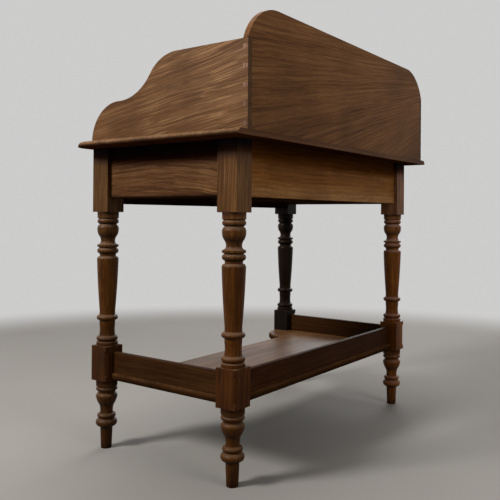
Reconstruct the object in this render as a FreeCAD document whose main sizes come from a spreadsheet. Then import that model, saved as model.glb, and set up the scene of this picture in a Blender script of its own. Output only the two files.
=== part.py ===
import FreeCAD, Part
import math
import os
from types import SimpleNamespace

import Sketcher

# A Victorian washstand: a top with a raised gallery on four turned legs, two drawers under the top,
# and a shaped shelf with a low gallery near the floor.
# X runs along the width, the front faces -Y and Z is up.
# The origin is on the floor, under the middle of the whole stand.

doc = FreeCAD.newDocument("washstand")
sheet = doc.addObject("Spreadsheet::Sheet", "Sizes")

SIZES = {
    # underframe, measured over the legs
    "frame_width": 815,
    "frame_depth": 434,
    "leg_square": 51,
    "foot_height": 162,
    "shelf_block_height": 82,
    "turned_height": 317,
    "arris_radius": 1.5,
    "block_chamfer": 6,
    "chamfer_stop": 8,
    # top board
    "table_height": 724,
    "top_thickness": 12,
    "top_side_overhang": 51,
    "top_back_overhang": 43,
    "top_front_overhang": 24,
    "top_corner_radius": 48,
    "top_nose_radius": 10.5,
    # gallery round the top
    "gallery_thickness": 12.5,
    "gallery_side_overhang": 22,
    "gallery_back_height": 253,
    "gallery_side_height": 178,
    "gallery_corner_radius": 110,
    "gallery_front_set_back": 21,
    "gallery_toe_height": 88,
    "gallery_toe_length": 93,
    "gallery_scroll_length": 172,
    "gallery_pin_width": 11,
    # side and back rails
    "rail_height": 119,
    "rail_thickness": 20,
    "rail_set_back": 10,
    "rail_round": 4,
    "tenon_length": 24,
    "tenon_thickness": 8,
    "tenon_shoulder": 15,
    # front rails and divider
    "front_set_back": 3,
    "drawer_rail_height": 20,
    "top_rail_height": 15,
    "drawer_opening_height": 96,
    "divider_width": 24,
    "stub_length": 6,
    "stub_thickness": 9,
    "top_tail_width": 30,
    # runners, guides, kickers, stops and glue blocks
    "runner_height": 8,
    "runner_ledge": 20,
    "guide_height": 16,
    "stop_length": 34,
    "stop_width": 14,
    "stop_height": 6,
    "glue_block_size": 18,
    "glue_block_length": 60,
    # drawers
    "drawer_side_gap": 0.8,
    "drawer_lift": 0.3,
    "drawer_top_gap": 1.5,
    "drawer_back_gap": 23,
    "drawer_front_thickness": 20,
    "drawer_front_lap": 6,
    "drawer_side_thickness": 9.5,
    "drawer_back_drop": 8,
    "drawer_bottom_lift": 9,
    "drawer_bottom_thickness": 6,
    "drawer_groove_depth": 5,
    "drawer_pin_width": 9,
    # knobs
    "knob_diameter": 38,
    "knob_projection": 26,
    "knob_spacing": 180,
    "knob_spigot_diameter": 12,
    "knob_spigot_length": 17,
    "knob_hole_gap": 0.2,
    # shelf and its gallery
    "shelf_lift": 3,
    "shelf_thickness": 16,
    "shelf_set_back": 15,
    "shelf_front_set_back": 5,
    "shelf_recess": 87,
    "shelf_lobe_radius": 115,
    "shelf_nose_radius": 6,
    "shelf_housing": 12,
    "low_gallery_height": 50,
    "low_gallery_thickness": 12,
    "low_gallery_set_back": 20,
    "low_gallery_housing": 8,
    # screws
    "screw_diameter": 4,
    "screw_head_diameter": 8,
    "screw_head_height": 2.5,
    "screw_length": 30,
    "short_screw_length": 22,
    "screw_hole_gap": 0.2,
}

for row, (alias, value) in enumerate(SIZES.items(), start=1):
    sheet.set("A%d" % row, alias)
    sheet.set("B%d" % row, str(value))
    sheet.setAlias("B%d" % row, alias)
doc.recompute()


class Size:
    """A length from the sheet, or one worked out from such lengths: its value and its formula."""

    def __init__(self, value, formula):
        self.value = value
        self.formula = formula

    def merge(self, sign, other, value):
        formula = other.formula if isinstance(other, Size) else repr(float(other))
        return Size(value, "(%s %s %s)" % (self.formula, sign, formula))

    def __add__(self, other):
        return self.merge("+", other, self.value + number(other))

    def __sub__(self, other):
        return self.merge("-", other, self.value - number(other))

    def __mul__(self, other):
        return self.merge("*", other, self.value * number(other))

    def __truediv__(self, other):
        return self.merge("/", other, self.value / number(other))

    def __neg__(self):
        return Size(-self.value, "(0 - %s)" % self.formula)


def number(item):
    return item.value if isinstance(item, Size) else float(item)


def root(square):
    return Size(math.sqrt(square.value), "sqrt(%s)" % square.formula)


def bind(thing, path, size):
    thing.setExpression(path, size.formula)


dim = SimpleNamespace(**{alias: Size(float(value), "Sizes." + alias) for alias, value in SIZES.items()})
zero = Size(0.0, "0")
QUARTER_ARC_SHARE = math.sqrt(0.5)
SIXTY_DEGREE_SHARE = math.sqrt(0.75)


# Building blocks

def box(name, x, y, z):
    """A plain block; x, y and z are its low and high places."""
    block = doc.addObject("Part::Box", name)
    for side, axis, (low, high) in zip(("Length", "Width", "Height"), "xyz", (x, y, z)):
        bind(block, side, high - low)
        bind(block, "Placement.Base." + axis, low)
    return block


def join(name, pieces):
    whole = doc.addObject("Part::MultiFuse", name)
    whole.Shapes = pieces
    whole.Refine = True
    return whole


def cut(name, base, tools):
    rest = doc.addObject("Part::Cut", name)
    rest.Base = base
    rest.Tool = tools[0] if len(tools) == 1 else join(name + "_tools", tools)
    rest.Refine = True
    return rest


def group(name, pieces):
    """Separate solids that share one node."""
    whole = doc.addObject("Part::Compound", name)
    whole.Links = pieces
    return whole


def place_at(thing, x, y, z):
    for axis, place in zip("xyz", (x, y, z)):
        bind(thing, "Placement.Base." + axis, place)


def sketch_on(body, role, outline):
    """A closed outline on one of the body's planes: a start, and steps to an end or by a middle to an end."""
    start, steps = outline
    plane = [item for item in body.Origin.OriginFeatures if item.Role == role][0]
    sketch = body.newObject("Sketcher::SketchObject", body.Name + "_outline")
    sketch.AttachmentSupport = [(plane, "")]
    sketch.MapMode = "FlatFace"
    edges, marks, pins, ends = [], [], [], []
    at = start
    for index, step in enumerate(steps):
        places = [FreeCAD.Vector(number(u), number(v), 0) for u, v in (at,) + step]
        first, last = 1, 2
        if len(step) == 1:
            edges.append(Part.LineSegment(*places))
        else:
            if (places[1] - places[0]).cross(places[2] - places[1]).z < 0:
                places.reverse()
                first, last = 2, 1
            edges.append(Part.Arc(*places))
            marks.append((index, step[0]))
        ends.append((index, first, last))
        pins.append((index, last, step[-1]))
        at = step[-1]
    sketch.addGeometry(edges)
    for offset, (index, spot) in enumerate(marks):
        sketch.addGeometry(Part.Point(FreeCAD.Vector(number(spot[0]), number(spot[1]), 0)), True)
        pins.append((len(steps) + offset, 1, spot))
    rules, lengths = [], []
    for edge, corner, spot in pins:
        for kind, size in zip(("DistanceX", "DistanceY"), spot):
            rules.append(Sketcher.Constraint(kind, -1, 1, edge, corner, number(size)))
            lengths.append(size)
    for (edge, _, last), (following, first, _) in zip(ends, ends[1:] + ends[:1]):
        rules.append(Sketcher.Constraint("Coincident", edge, last, following, first))
    for offset, (index, _) in enumerate(marks):
        rules.append(Sketcher.Constraint("PointOnObject", len(steps) + offset, 1, index))
    sketch.addConstraint(rules)
    for index, size in enumerate(lengths):
        bind(sketch, "Constraints[%d]" % index, size)
    sketch.Visibility = False
    return sketch


def plank(name, role, outline, low, high):
    """A piece of one section, between two places along the axis that the section is square to."""
    body = doc.addObject("PartDesign::Body", name)
    pad = body.newObject("PartDesign::Pad", name + "_pad")
    pad.Profile = sketch_on(body, role, outline)
    body.Tip = pad
    bind(pad, "Length", high - low)
    axis = {"XY_Plane": "z", "XZ_Plane": "y", "YZ_Plane": "x"}[role]
    bind(body, "Placement.Base." + axis, high if role == "XZ_Plane" else low)
    return body


def soften(body, radius, chosen):
    """Round the edges of a body whose middle points are chosen."""
    doc.recompute()
    base = body.Tip
    names = []
    for index, edge in enumerate(base.Shape.Edges, start=1):
        if chosen(edge.valueAt((edge.FirstParameter + edge.LastParameter) / 2)):
            names.append("Edge%d" % index)
    fillet = body.newObject("PartDesign::Fillet", base.Name + "_round")
    fillet.Base = (base, names)
    bind(fillet, "Radius", radius)
    return body


def spun(name, outline):
    """A turned piece: a closed outline of radius and height, spun about the upright axis."""
    body = doc.addObject("PartDesign::Body", name)
    turning = body.newObject("PartDesign::Revolution", name + "_turning")
    sketch = sketch_on(body, "XZ_Plane", outline)
    turning.Profile = sketch
    turning.ReferenceAxis = (sketch, ["V_Axis"])
    body.Tip = turning
    return body


def polygon(*corners):
    return corners[0], [(corner,) for corner in corners[1:] + corners[:1]]


def soft_rectangle(u, v, radius):
    """A rectangle with its four corners rounded."""
    (u0, u1), (v0, v1) = u, v
    slack = radius * (1 - QUARTER_ARC_SHARE)
    return (u0 + radius, v0), [
        ((u1 - radius, v0),), ((u1 - slack, v0 + slack), (u1, v0 + radius)),
        ((u1, v1 - radius),), ((u1 - slack, v1 - slack), (u1 - radius, v1)),
        ((u0 + radius, v1),), ((u0 + slack, v1 - slack), (u0, v1 - radius)),
        ((u0, v0 + radius),), ((u0 + slack, v0 + slack), (u0 + radius, v0)),
    ]


def soft_foot(u, v, radius):
    """A rectangle whose two lower corners are rounded."""
    (u0, u1), (v0, v1) = u, v
    slack = radius * (1 - QUARTER_ARC_SHARE)
    return (u0 + radius, v0), [
        ((u1 - radius, v0),), ((u1 - slack, v0 + slack), (u1, v0 + radius)),
        ((u1, v1),), ((u0, v1),),
        ((u0, v0 + radius),), ((u0 + slack, v0 + slack), (u0 + radius, v0)),
    ]


def turned_steps(shares, radius, height):
    """Steps of a turned outline, from rows of shares of a radius and of a height."""
    steps = []
    for row in shares:
        steps.append(tuple((radius * u, height * v) for u, v in zip(row[::2], row[1::2])))
    return steps


def dovetails(name, x, y, z, width, count, slope):
    """Wedges one above another, each wide at its front and narrower at its back."""
    wedges = []
    pitch = (z[1] - z[0] - width) / (count - 1)
    for index in range(count):
        bottom = z[0] + pitch * index
        wedge = doc.addObject("Part::Wedge", "%s_%d" % (name, index + 1))
        rise = (y[1] - y[0]) * slope
        for field, size in (("Xmin", x[0]), ("Xmax", x[1]), ("X2min", x[0]), ("X2max", x[1]),
                            ("Ymin", y[0]), ("Ymax", y[1]),
                            ("Zmin", bottom), ("Zmax", bottom + width),
                            ("Z2min", bottom + rise), ("Z2max", bottom + width - rise)):
            bind(wedge, field, size)
        wedges.append(wedge)
    return wedges


DOVETAIL_SLOPE_SHARE = 0.14


def middle(pair):
    return (pair[0] + pair[1]) / 2


def centred(pair, thickness):
    """Places of a thickness in the middle of a pair of places."""
    return middle(pair) - thickness / 2, middle(pair) + thickness / 2


# Places that several pieces share

SIDES = {"right": 1, "left": -1}
ENDS = {"front": -1, "rear": 1}
mid_depth = (dim.top_front_overhang - dim.top_back_overhang) / 2
half_depth = dim.frame_depth / 2
inner_depth = half_depth - dim.leg_square
side_face = dim.frame_width / 2
inner_side = side_face - dim.leg_square
front_face = mid_depth - half_depth
back_face = mid_depth + half_depth
inner_front = mid_depth - inner_depth
inner_back = mid_depth + inner_depth
top_under = dim.table_height - dim.top_thickness
block_top = dim.foot_height + dim.shelf_block_height
collar_top = block_top + dim.turned_height
rail_bottom = top_under - dim.rail_height
side_rail_x = (side_face - dim.rail_set_back - dim.rail_thickness, side_face - dim.rail_set_back)
back_rail_y = (back_face - dim.rail_set_back - dim.rail_thickness, back_face - dim.rail_set_back)
front_y = (front_face + dim.front_set_back, inner_front)
opening_top = top_under - dim.top_rail_height
opening_bottom = opening_top - dim.drawer_opening_height
half_divider = dim.divider_width / 2
shelf_z = (dim.foot_height + dim.shelf_lift, dim.foot_height + dim.shelf_lift + dim.shelf_thickness)
low_gallery_z = (shelf_z[1], shelf_z[1] + dim.low_gallery_height)


def wide(way, low, high):
    """Places in X at the right side, or their mirror image at the left."""
    return (low, high) if way > 0 else (-high, -low)


def deep(turn, low, high):
    """Places in Y, measured from the legs' middle to the back or to the front."""
    return (mid_depth + low, mid_depth + high) if turn > 0 else (mid_depth - high, mid_depth - low)


# Tenons and housings: each is made once, joined to the piece that carries it and cut from the other

rail_tenon_z = (rail_bottom + dim.tenon_shoulder, opening_top)
drawer_rail_z = (opening_bottom - dim.drawer_rail_height, opening_bottom)
leg_cuts = {(side, end): [] for side in SIDES for end in ENDS}
side_tenons = {side: [] for side in SIDES}
low_side_tenons = {side: [] for side in SIDES}
back_tenons, low_back_tenons, drawer_rail_tenons, top_rail_tails, shelf_tabs = [], [], [], [], []
low_gallery_x = (side_face - dim.low_gallery_set_back - dim.low_gallery_thickness,
                 side_face - dim.low_gallery_set_back)
low_gallery_y = (back_face - dim.low_gallery_set_back - dim.low_gallery_thickness,
                 back_face - dim.low_gallery_set_back)

for side, way in SIDES.items():
    for end, turn in ENDS.items():
        corner = "%s_%s" % (end, side)
        tenon = box("side_tenon_" + corner, wide(way, *centred(side_rail_x, dim.tenon_thickness)),
                    deep(turn, inner_depth, inner_depth + dim.tenon_length), rail_tenon_z)
        stub = box("low_side_tenon_" + corner, wide(way, *low_gallery_x),
                   deep(turn, inner_depth, inner_depth + dim.low_gallery_housing), low_gallery_z)
        tab = box("shelf_tab_" + corner, wide(way, inner_side, inner_side + dim.shelf_housing),
                  deep(turn, inner_depth, inner_depth + dim.shelf_housing), shelf_z)
        side_tenons[side].append(tenon)
        low_side_tenons[side].append(stub)
        shelf_tabs.append(tab)
        leg_cuts[side, end] += [tenon, stub, tab]
    tenon_x = wide(way, inner_side, inner_side + dim.tenon_length)
    tenon = box("back_tenon_" + side, tenon_x, centred(back_rail_y, dim.tenon_thickness), rail_tenon_z)
    stub = box("low_back_tenon_" + side, wide(way, inner_side, inner_side + dim.low_gallery_housing),
               low_gallery_y, low_gallery_z)
    back_tenons.append(tenon)
    low_back_tenons.append(stub)
    leg_cuts[side, "rear"] += [tenon, stub]
    quarter = (front_y[1] - front_y[0]) / 4
    for label, spot in (("outer", front_y[0] + quarter), ("inner", front_y[1] - quarter)):
        tenon = box("drawer_rail_tenon_%s_%s" % (label, side), tenon_x,
                    centred((spot, spot), dim.stub_thickness), drawer_rail_z)
        drawer_rail_tenons.append(tenon)
        leg_cuts[side, "front"].append(tenon)
    waist = centred(front_y, dim.top_tail_width)
    flare = dim.tenon_length * DOVETAIL_SLOPE_SHARE
    shoulder, tip = inner_side * way, (inner_side + dim.tenon_length) * way
    fan = polygon((shoulder, waist[0]), (tip, waist[0] - flare),
                  (tip, waist[1] + flare), (shoulder, waist[1]))
    tail = plank("top_rail_tail_" + side, "XY_Plane", fan, opening_top, top_under)
    top_rail_tails.append(tail)
    leg_cuts[side, "front"].append(tail)


# Legs: each is one piece, turned from the square, with square blocks left for the rails and the shelf

NODES = []


def node(name, thing):
    """Name a finished piece, as its file will be called."""
    thing.Label = name
    NODES.append(thing)
    return thing


# Rows of radius and height shares: one pair ends a straight step, two pairs are a curve's middle and end
FOOT_SHARES = [
    (0.49, 0.0), (0.565, 0.290), (0.60, 0.308, 0.68, 0.320),
    (0.985, 0.374, 0.80, 0.430), (0.735, 0.434), (0.735, 0.446),
    (0.855, 0.478, 0.74, 0.508), (0.60, 0.512), (0.585, 0.565, 0.655, 0.628),
    (0.87, 0.694, 0.975, 0.748), (0.965, 0.780, 0.87, 0.802), (0.79, 0.810), (0.79, 0.838),
    (0.98, 0.868, 0.88, 0.897), (0.86, 0.902), (0.86, 0.909), (0.985, 0.914), (0.985, 1.03), (0.0, 1.03),
]
SHAFT_SHARES = [
    (0.985, 0.0), (0.985, 0.026), (0.87, 0.030), (0.87, 0.036),
    (0.985, 0.052, 0.88, 0.068), (0.74, 0.073), (0.69, 0.115, 0.725, 0.160), (0.73, 0.190),
    (0.985, 0.207, 0.84, 0.224), (0.725, 0.231), (0.72, 0.262), (0.885, 0.450, 0.99, 0.640),
    (0.975, 0.655, 0.88, 0.665), (0.745, 0.668), (0.745, 0.684), (0.80, 0.689),
    (0.985, 0.709, 0.90, 0.726), (0.82, 0.729), (0.82, 0.735), (0.985, 0.740), (0.985, 0.756),
    (0.74, 0.765, 0.655, 0.784), (0.685, 0.801, 0.76, 0.816), (0.93, 0.841, 0.985, 0.868),
    (0.965, 0.889, 0.86, 0.904), (0.785, 0.907), (0.785, 0.911),
    (0.98, 0.930, 0.88, 0.948), (0.87, 0.951), (0.985, 0.956), (0.985, 1.02), (0.0, 1.02),
]
half_square = dim.leg_square / 2

for side, way in SIDES.items():
    for end, turn in ENDS.items():
        name = "leg_%s_%s" % (end, side)
        x = wide(way, inner_side, side_face)
        y = deep(turn, inner_depth, half_depth)
        lengths = []
        for label, shares, height, base in (("foot", FOOT_SHARES, dim.foot_height, zero),
                                            ("shaft", SHAFT_SHARES, dim.turned_height, block_top)):
            steps = turned_steps(shares, half_square, height) + [((zero, zero),)]
            turned = spun("%s_%s" % (name, label), ((zero, zero), steps))
            place_at(turned, middle(x), middle(y), base)
            lengths.append(turned)
        square = soft_rectangle(x, y, dim.arris_radius)
        lengths.append(plank(name + "_shelf_block", "XY_Plane", square, dim.foot_height, block_top))
        lengths.append(plank(name + "_top_block", "XY_Plane", square, collar_top, top_under))
        arris_x, arris_y = side_face * way, y[1]
        step = dim.block_chamfer
        wedge = polygon((arris_x + step * way, arris_y + step), (arris_x - step * way * 2, arris_y + step),
                        (arris_x + step * way, arris_y - step * 2))
        chamfer = plank(name + "_chamfer", "XY_Plane", wedge,
                        dim.foot_height + dim.chamfer_stop, block_top - dim.chamfer_stop)
        whole = join(name + "_whole", lengths)
        node(name, cut(name + "_cut", whole, leg_cuts[side, end] + [chamfer]))


# Screws: countersunk, driven upwards, each with a hole that clears it

def screw_outline(length, gap):
    head, shank = dim.screw_head_diameter / 2 + gap, dim.screw_diameter / 2 + gap
    tip = length + gap - dim.screw_diameter
    return (zero, zero), [((head, zero),), ((shank, dim.screw_head_height),), ((shank, tip),),
                          ((zero, length + gap),), ((zero, zero),)]


def screws(name, spots, height, length):
    """Screws whose heads lie at the height, and the holes for them."""
    driven, holes = [], []
    for index, (x, y) in enumerate(spots, start=1):
        screw = spun("%s_%d" % (name, index), screw_outline(length, zero))
        hole = spun("%s_hole_%d" % (name, index), screw_outline(length, dim.screw_hole_gap))
        for turned in (screw, hole):
            place_at(turned, x, y, height)
        driven.append(screw)
        holes.append(hole)
    node(name, group(name + "_group", driven))
    return holes


# The boards of the top gallery, and where the screws go

SCREW_PLACE_SHARES = (0.25, 0.75)
BACK_SCREW_SHARES = (-0.75, 0.0, 0.75)
gallery_x = (side_face + dim.gallery_side_overhang - dim.gallery_thickness,
             side_face + dim.gallery_side_overhang)
top_back = back_face + dim.top_back_overhang
gallery_back_y = (top_back - dim.gallery_thickness, top_back)
gallery_front = front_face + dim.gallery_front_set_back
gallery_side_top = dim.table_height + dim.gallery_side_height
gallery_back_top = dim.table_height + dim.gallery_back_height
gallery_length = top_back - gallery_front

gallery_spots = []
shelf_spots = []
kicker_spots = []
kicker_x = {"right": wide(1, inner_side - dim.runner_ledge, side_rail_x[0]),
            "left": wide(-1, inner_side - dim.runner_ledge, side_rail_x[0]),
            "centre": (-(half_divider + dim.runner_ledge), half_divider + dim.runner_ledge)}
for share in SCREW_PLACE_SHARES:
    high_y = gallery_front + gallery_length * share
    low_y = inner_front + (inner_back - inner_front) * share
    for way in SIDES.values():
        gallery_spots.append((middle(gallery_x) * way, high_y))
        shelf_spots.append((middle(low_gallery_x) * way, low_y))
    for x in kicker_x.values():
        kicker_spots.append((middle(x), low_y))
for share in BACK_SCREW_SHARES:
    gallery_spots.append((gallery_x[0] * share, middle(gallery_back_y)))
    shelf_spots.append((inner_side * share, middle(low_gallery_y)))

gallery_holes = screws("gallery_screws", gallery_spots, top_under, dim.screw_length)
top_holes = screws("top_screws", kicker_spots, opening_top, dim.short_screw_length)
shelf_holes = screws("shelf_screws", shelf_spots, shelf_z[0], dim.screw_length)


# Top board: one board with rounded front corners and a thumb moulding round its front and sides

top_x = side_face + dim.top_side_overhang
top_front = front_face - dim.top_front_overhang
corner = dim.top_corner_radius
slack = corner * (1 - QUARTER_ARC_SHARE)
top_outline = (top_x, top_back), [
    ((-top_x, top_back),), ((-top_x, top_front + corner),),
    ((-(top_x - slack), top_front + slack), (-(top_x - corner), top_front)),
    ((top_x - corner, top_front),),
    ((top_x - slack, top_front + slack), (top_x, top_front + corner)),
    ((top_x, top_back),),
]
top_plain = plank("top_board_plain", "XY_Plane", top_outline, top_under, dim.table_height)


def top_edge_shows(spot):
    """True for the upper edges of the front and the sides."""
    above = spot.z > dim.top_thickness.value * SIXTY_DEGREE_SHARE
    return above and spot.y < number(top_back - corner)


soften(top_plain, dim.top_nose_radius, top_edge_shows)
node("top_board", cut("top_board_cut", top_plain, gallery_holes + top_holes))


# Back of the gallery: a tall board with rounded shoulders, its ends dovetailed through the sides

rise = gallery_back_top - gallery_side_top
radius = dim.gallery_corner_radius
shoulder_x = gallery_x[1] - root(radius * radius - (radius - rise) * (radius - rise))
arc_x = shoulder_x + radius / 2
arc_z = gallery_back_top - radius * (1 - SIXTY_DEGREE_SHARE)
back_outline = (-gallery_x[0], dim.table_height), [
    ((gallery_x[0], dim.table_height),), ((gallery_x[0], gallery_side_top),),
    ((gallery_x[1], gallery_side_top),),
    ((arc_x, arc_z), (shoulder_x, gallery_back_top)), ((-shoulder_x, gallery_back_top),),
    ((-arc_x, arc_z), (-gallery_x[1], gallery_side_top)),
    ((-gallery_x[0], gallery_side_top),), ((-gallery_x[0], dim.table_height),),
]
back_board = plank("gallery_back_board", "XZ_Plane", back_outline, *gallery_back_y)
GALLERY_PINS = 5
pin_z = (dim.table_height + dim.gallery_pin_width / 2, gallery_side_top - dim.gallery_pin_width)
gallery_pins = {side: dovetails("gallery_pin_" + side, wide(way, *gallery_x), gallery_back_y, pin_z,
                                dim.gallery_pin_width, GALLERY_PINS, DOVETAIL_SLOPE_SHARE)
                for side, way in SIDES.items()}
back_whole = join("gallery_back_whole", [back_board] + gallery_pins["right"] + gallery_pins["left"])
node("gallery_back", cut("gallery_back_cut", back_whole, gallery_holes))


# Sides of the gallery: a quarter-round toe, then a long S curve up to the height of the back

INFLECTION_SHARE = 0.55
toe_radius = dim.gallery_toe_height
toe_slack = toe_radius * (1 - QUARTER_ARC_SHARE)
toe_top = dim.table_height + dim.gallery_toe_height
scroll_front = gallery_front + dim.gallery_toe_length
scroll_back = scroll_front + dim.gallery_scroll_length
run, climb = dim.gallery_scroll_length, gallery_side_top - toe_top
chord = root(run * run + climb * climb)
reach = chord * chord / (climb * 2)
hollow_radius, crown_radius = reach * INFLECTION_SHARE, reach * (1 - INFLECTION_SHARE)
sine, bulge = climb / chord, (chord - run) / chord
side_outline = (gallery_front, dim.table_height), [
    ((gallery_front + toe_slack, toe_top - toe_slack), (gallery_front + toe_radius, toe_top)),
    ((scroll_front, toe_top),),
    ((scroll_front + hollow_radius * sine, toe_top + hollow_radius * bulge),
     (scroll_front + run * INFLECTION_SHARE, toe_top + climb * INFLECTION_SHARE)),
    ((scroll_back - crown_radius * sine, gallery_side_top - crown_radius * bulge),
     (scroll_back, gallery_side_top)),
    ((top_back, gallery_side_top),), ((top_back, dim.table_height),), ((gallery_front, dim.table_height),),
]
for side, way in SIDES.items():
    board = plank("gallery_side_board_" + side, "YZ_Plane", side_outline, *wide(way, *gallery_x))
    node("gallery_side_" + side, cut("gallery_side_cut_" + side, board, gallery_pins[side] + gallery_holes))


# Side and back rails: tenoned into the legs, with a softened lower edge

for side, way in SIDES.items():
    section = soft_foot(wide(way, *side_rail_x), (rail_bottom, top_under), dim.rail_round)
    rail = plank("rail_side_board_" + side, "XZ_Plane", section, inner_front, inner_back)
    node("rail_side_" + side, join("rail_side_whole_" + side, [rail] + side_tenons[side]))

runner_z = (opening_bottom - dim.runner_height, opening_bottom)
divider_x = (-half_divider, half_divider)
runner_back_y = (back_rail_y[0], back_rail_y[0] + dim.stub_length)
runner_back_stub = box("runner_back_stub", divider_x, runner_back_y, runner_z)
section = soft_foot(back_rail_y, (rail_bottom, top_under), dim.rail_round)
rail = plank("rail_back_board", "YZ_Plane", section, -inner_side, inner_side)
node("rail_back", cut("rail_back_cut", join("rail_back_whole", [rail] + back_tenons), [runner_back_stub]))


# Front: a rail under the drawers, a thin one above them, and a short post between them

runner_front_y = (inner_front - dim.stub_length, inner_front)
runner_front_stub = box("runner_front_stub", divider_x, runner_front_y, runner_z)
post_y = centred(front_y, dim.stub_thickness * 2)
low_stub = box("divider_low_stub", divider_x, post_y, (opening_bottom - dim.stub_length, opening_bottom))
high_stub = box("divider_high_stub", divider_x, post_y, (opening_top, opening_top + dim.stub_length))
across = (-inner_side, inner_side)

board = box("drawer_rail_board", across, front_y, drawer_rail_z)
whole = join("drawer_rail_whole", [board] + drawer_rail_tenons)
node("drawer_rail", cut("drawer_rail_cut", whole, [low_stub, runner_front_stub]))
board = box("top_rail_board", across, front_y, (opening_top, top_under))
node("top_rail", cut("top_rail_cut", join("top_rail_whole", [board] + top_rail_tails), [high_stub]))
post = box("divider_post", divider_x, front_y, (opening_bottom, opening_top))
node("drawer_divider", join("divider_whole", [post, low_stub, high_stub]))


# Inside the frame: runners carry the drawers, guides keep them straight, kickers keep them level

end_y = {"right": inner_back, "left": inner_back, "centre": back_rail_y[0]}
guide_x = {"right": wide(1, inner_side, side_rail_x[0]), "left": wide(-1, inner_side, side_rail_x[0]),
           "centre": divider_x}
guide_z = (opening_bottom, opening_bottom + dim.guide_height)
for place, x in kicker_x.items():
    y = (inner_front, end_y[place])
    runner = box("runner_bar_" + place, x, y, runner_z)
    stubs = [runner_front_stub, runner_back_stub] if place == "centre" else []
    node("runner_" + place, join("runner_whole_" + place, [runner] + stubs) if stubs else runner)
    node("guide_" + place, box("guide_bar_" + place, guide_x[place], y, guide_z))
    kicker = box("kicker_bar_" + place, x, y, (opening_top, top_under))
    node("kicker_" + place, cut("kicker_cut_" + place, kicker, top_holes))


# Drawers: a front with lapped dovetails, thin sides and back, a bottom in grooves and two turned knobs

DRAWER_TAILS = 3
BACK_PINS = 3
# Rows of radius and height shares, as for the legs
KNOB_SHARES = [
    (0.60, 0.0), (0.60, 0.07), (0.40, 0.24, 0.56, 0.40), (1.0, 0.64, 0.66, 0.93), (0.36, 0.985, 0.14, 1.0),
    (0.0, 1.0),
]
FRONTWARD = FreeCAD.Rotation(FreeCAD.Vector(1, 0, 0), 90)
front_thickness_y = (front_y[0], front_y[0] + dim.drawer_front_thickness)
drawer_end = back_rail_y[0] - dim.drawer_back_gap
drawer_back_y = (drawer_end - dim.drawer_side_thickness, drawer_end)
drawer_z = (opening_bottom + dim.drawer_lift, opening_top - dim.drawer_top_gap)
bottom_z = (drawer_z[0] + dim.drawer_bottom_lift,
            drawer_z[0] + dim.drawer_bottom_lift + dim.drawer_bottom_thickness)
drawer_back_z = (bottom_z[1], drawer_z[1] - dim.drawer_back_drop)
margin = dim.drawer_pin_width
stops = []


def shrink(pair, amount):
    return pair[0] + amount, pair[1] - amount


for name, way in (("drawer_right", 1), ("drawer_left", -1)):
    x = wide(way, half_divider + dim.drawer_side_gap, inner_side - dim.drawer_side_gap)
    inner_x = shrink(x, dim.drawer_side_thickness)
    bottom = box(name + "_bottom_board", shrink(inner_x, -dim.drawer_groove_depth),
                 (front_thickness_y[1] - dim.drawer_groove_depth, drawer_end), bottom_z)
    sockets, back_pins = [], []
    for end, side_x in (("left", (x[0], inner_x[0])), ("right", (inner_x[1], x[1]))):
        tails = dovetails("%s_tail_%s" % (name, end), side_x,
                          (front_y[0] + dim.drawer_front_lap, front_thickness_y[1]),
                          (bottom_z[0], drawer_z[1] - margin), dim.drawer_pin_width * 2, DRAWER_TAILS,
                          DOVETAIL_SLOPE_SHARE)
        pins = dovetails("%s_pin_%s" % (name, end), side_x, drawer_back_y, shrink(drawer_back_z, margin),
                         dim.drawer_pin_width, BACK_PINS, DOVETAIL_SLOPE_SHARE)
        board = box("%s_side_%s_board" % (name, end), side_x, (front_thickness_y[1], drawer_end), drawer_z)
        whole = join("%s_side_%s_whole" % (name, end), [board] + tails)
        node("%s_side_%s" % (name, end), cut("%s_side_%s_cut" % (name, end), whole, pins + [bottom]))
        sockets += tails
        back_pins += pins
    back = box(name + "_back_board", inner_x, drawer_back_y, drawer_back_z)
    node(name + "_back", join(name + "_back_whole", [back] + back_pins))
    node(name + "_bottom", bottom)

    centre_z = middle(drawer_z)
    knob_holes = []
    for end, offset in (("left", -dim.knob_spacing), ("right", dim.knob_spacing)):
        spigot = dim.knob_spigot_diameter / 2
        outline = (zero, -dim.knob_spigot_length), (
            [((spigot, -dim.knob_spigot_length),), ((spigot, zero),)]
            + turned_steps(KNOB_SHARES, dim.knob_diameter / 2, dim.knob_projection)
            + [((zero, -dim.knob_spigot_length),)])
        knob = spun("%s_knob_%s_turned" % (name, end), outline)
        hole = doc.addObject("Part::Cylinder", "%s_knob_hole_%s" % (name, end))
        bind(hole, "Radius", spigot + dim.knob_hole_gap)
        bind(hole, "Height", dim.drawer_front_thickness)
        knob.Placement.Rotation = FRONTWARD
        hole.Placement.Rotation = FRONTWARD
        knob_x = middle(x) + offset / 2
        place_at(knob, knob_x, front_y[0], centre_z)
        place_at(hole, knob_x, front_thickness_y[1], centre_z)
        node("%s_knob_%s" % (name, end), knob)
        knob_holes.append(hole)
        stop_y = front_thickness_y[1] + dim.drawer_lift
        stops.append(box("%s_stop_%s" % (name, end), centred((knob_x, knob_x), dim.stop_length),
                         (stop_y, stop_y + dim.stop_width),
                         (opening_bottom, opening_bottom + dim.stop_height)))
    section = soft_rectangle(x, drawer_z, dim.arris_radius)
    front = plank(name + "_front_board", "XZ_Plane", section, *front_thickness_y)
    node(name + "_front", cut(name + "_front_cut", front, sockets + [bottom] + knob_holes))

node("drawer_stops", group("drawer_stops_group", stops))

blocks = []
for side, way in SIDES.items():
    top_edge, low_edge = top_under, top_under - dim.glue_block_size
    near, far = back_rail_y[0], back_rail_y[0] - dim.glue_block_size
    half_space = inner_side / 2 * way
    blocks.append(plank("glue_block_" + side, "YZ_Plane",
                        polygon((near, low_edge), (near, top_edge), (far, top_edge)),
                        *centred((half_space, half_space), dim.glue_block_length)))
node("glue_blocks", group("glue_blocks_group", blocks))


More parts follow.
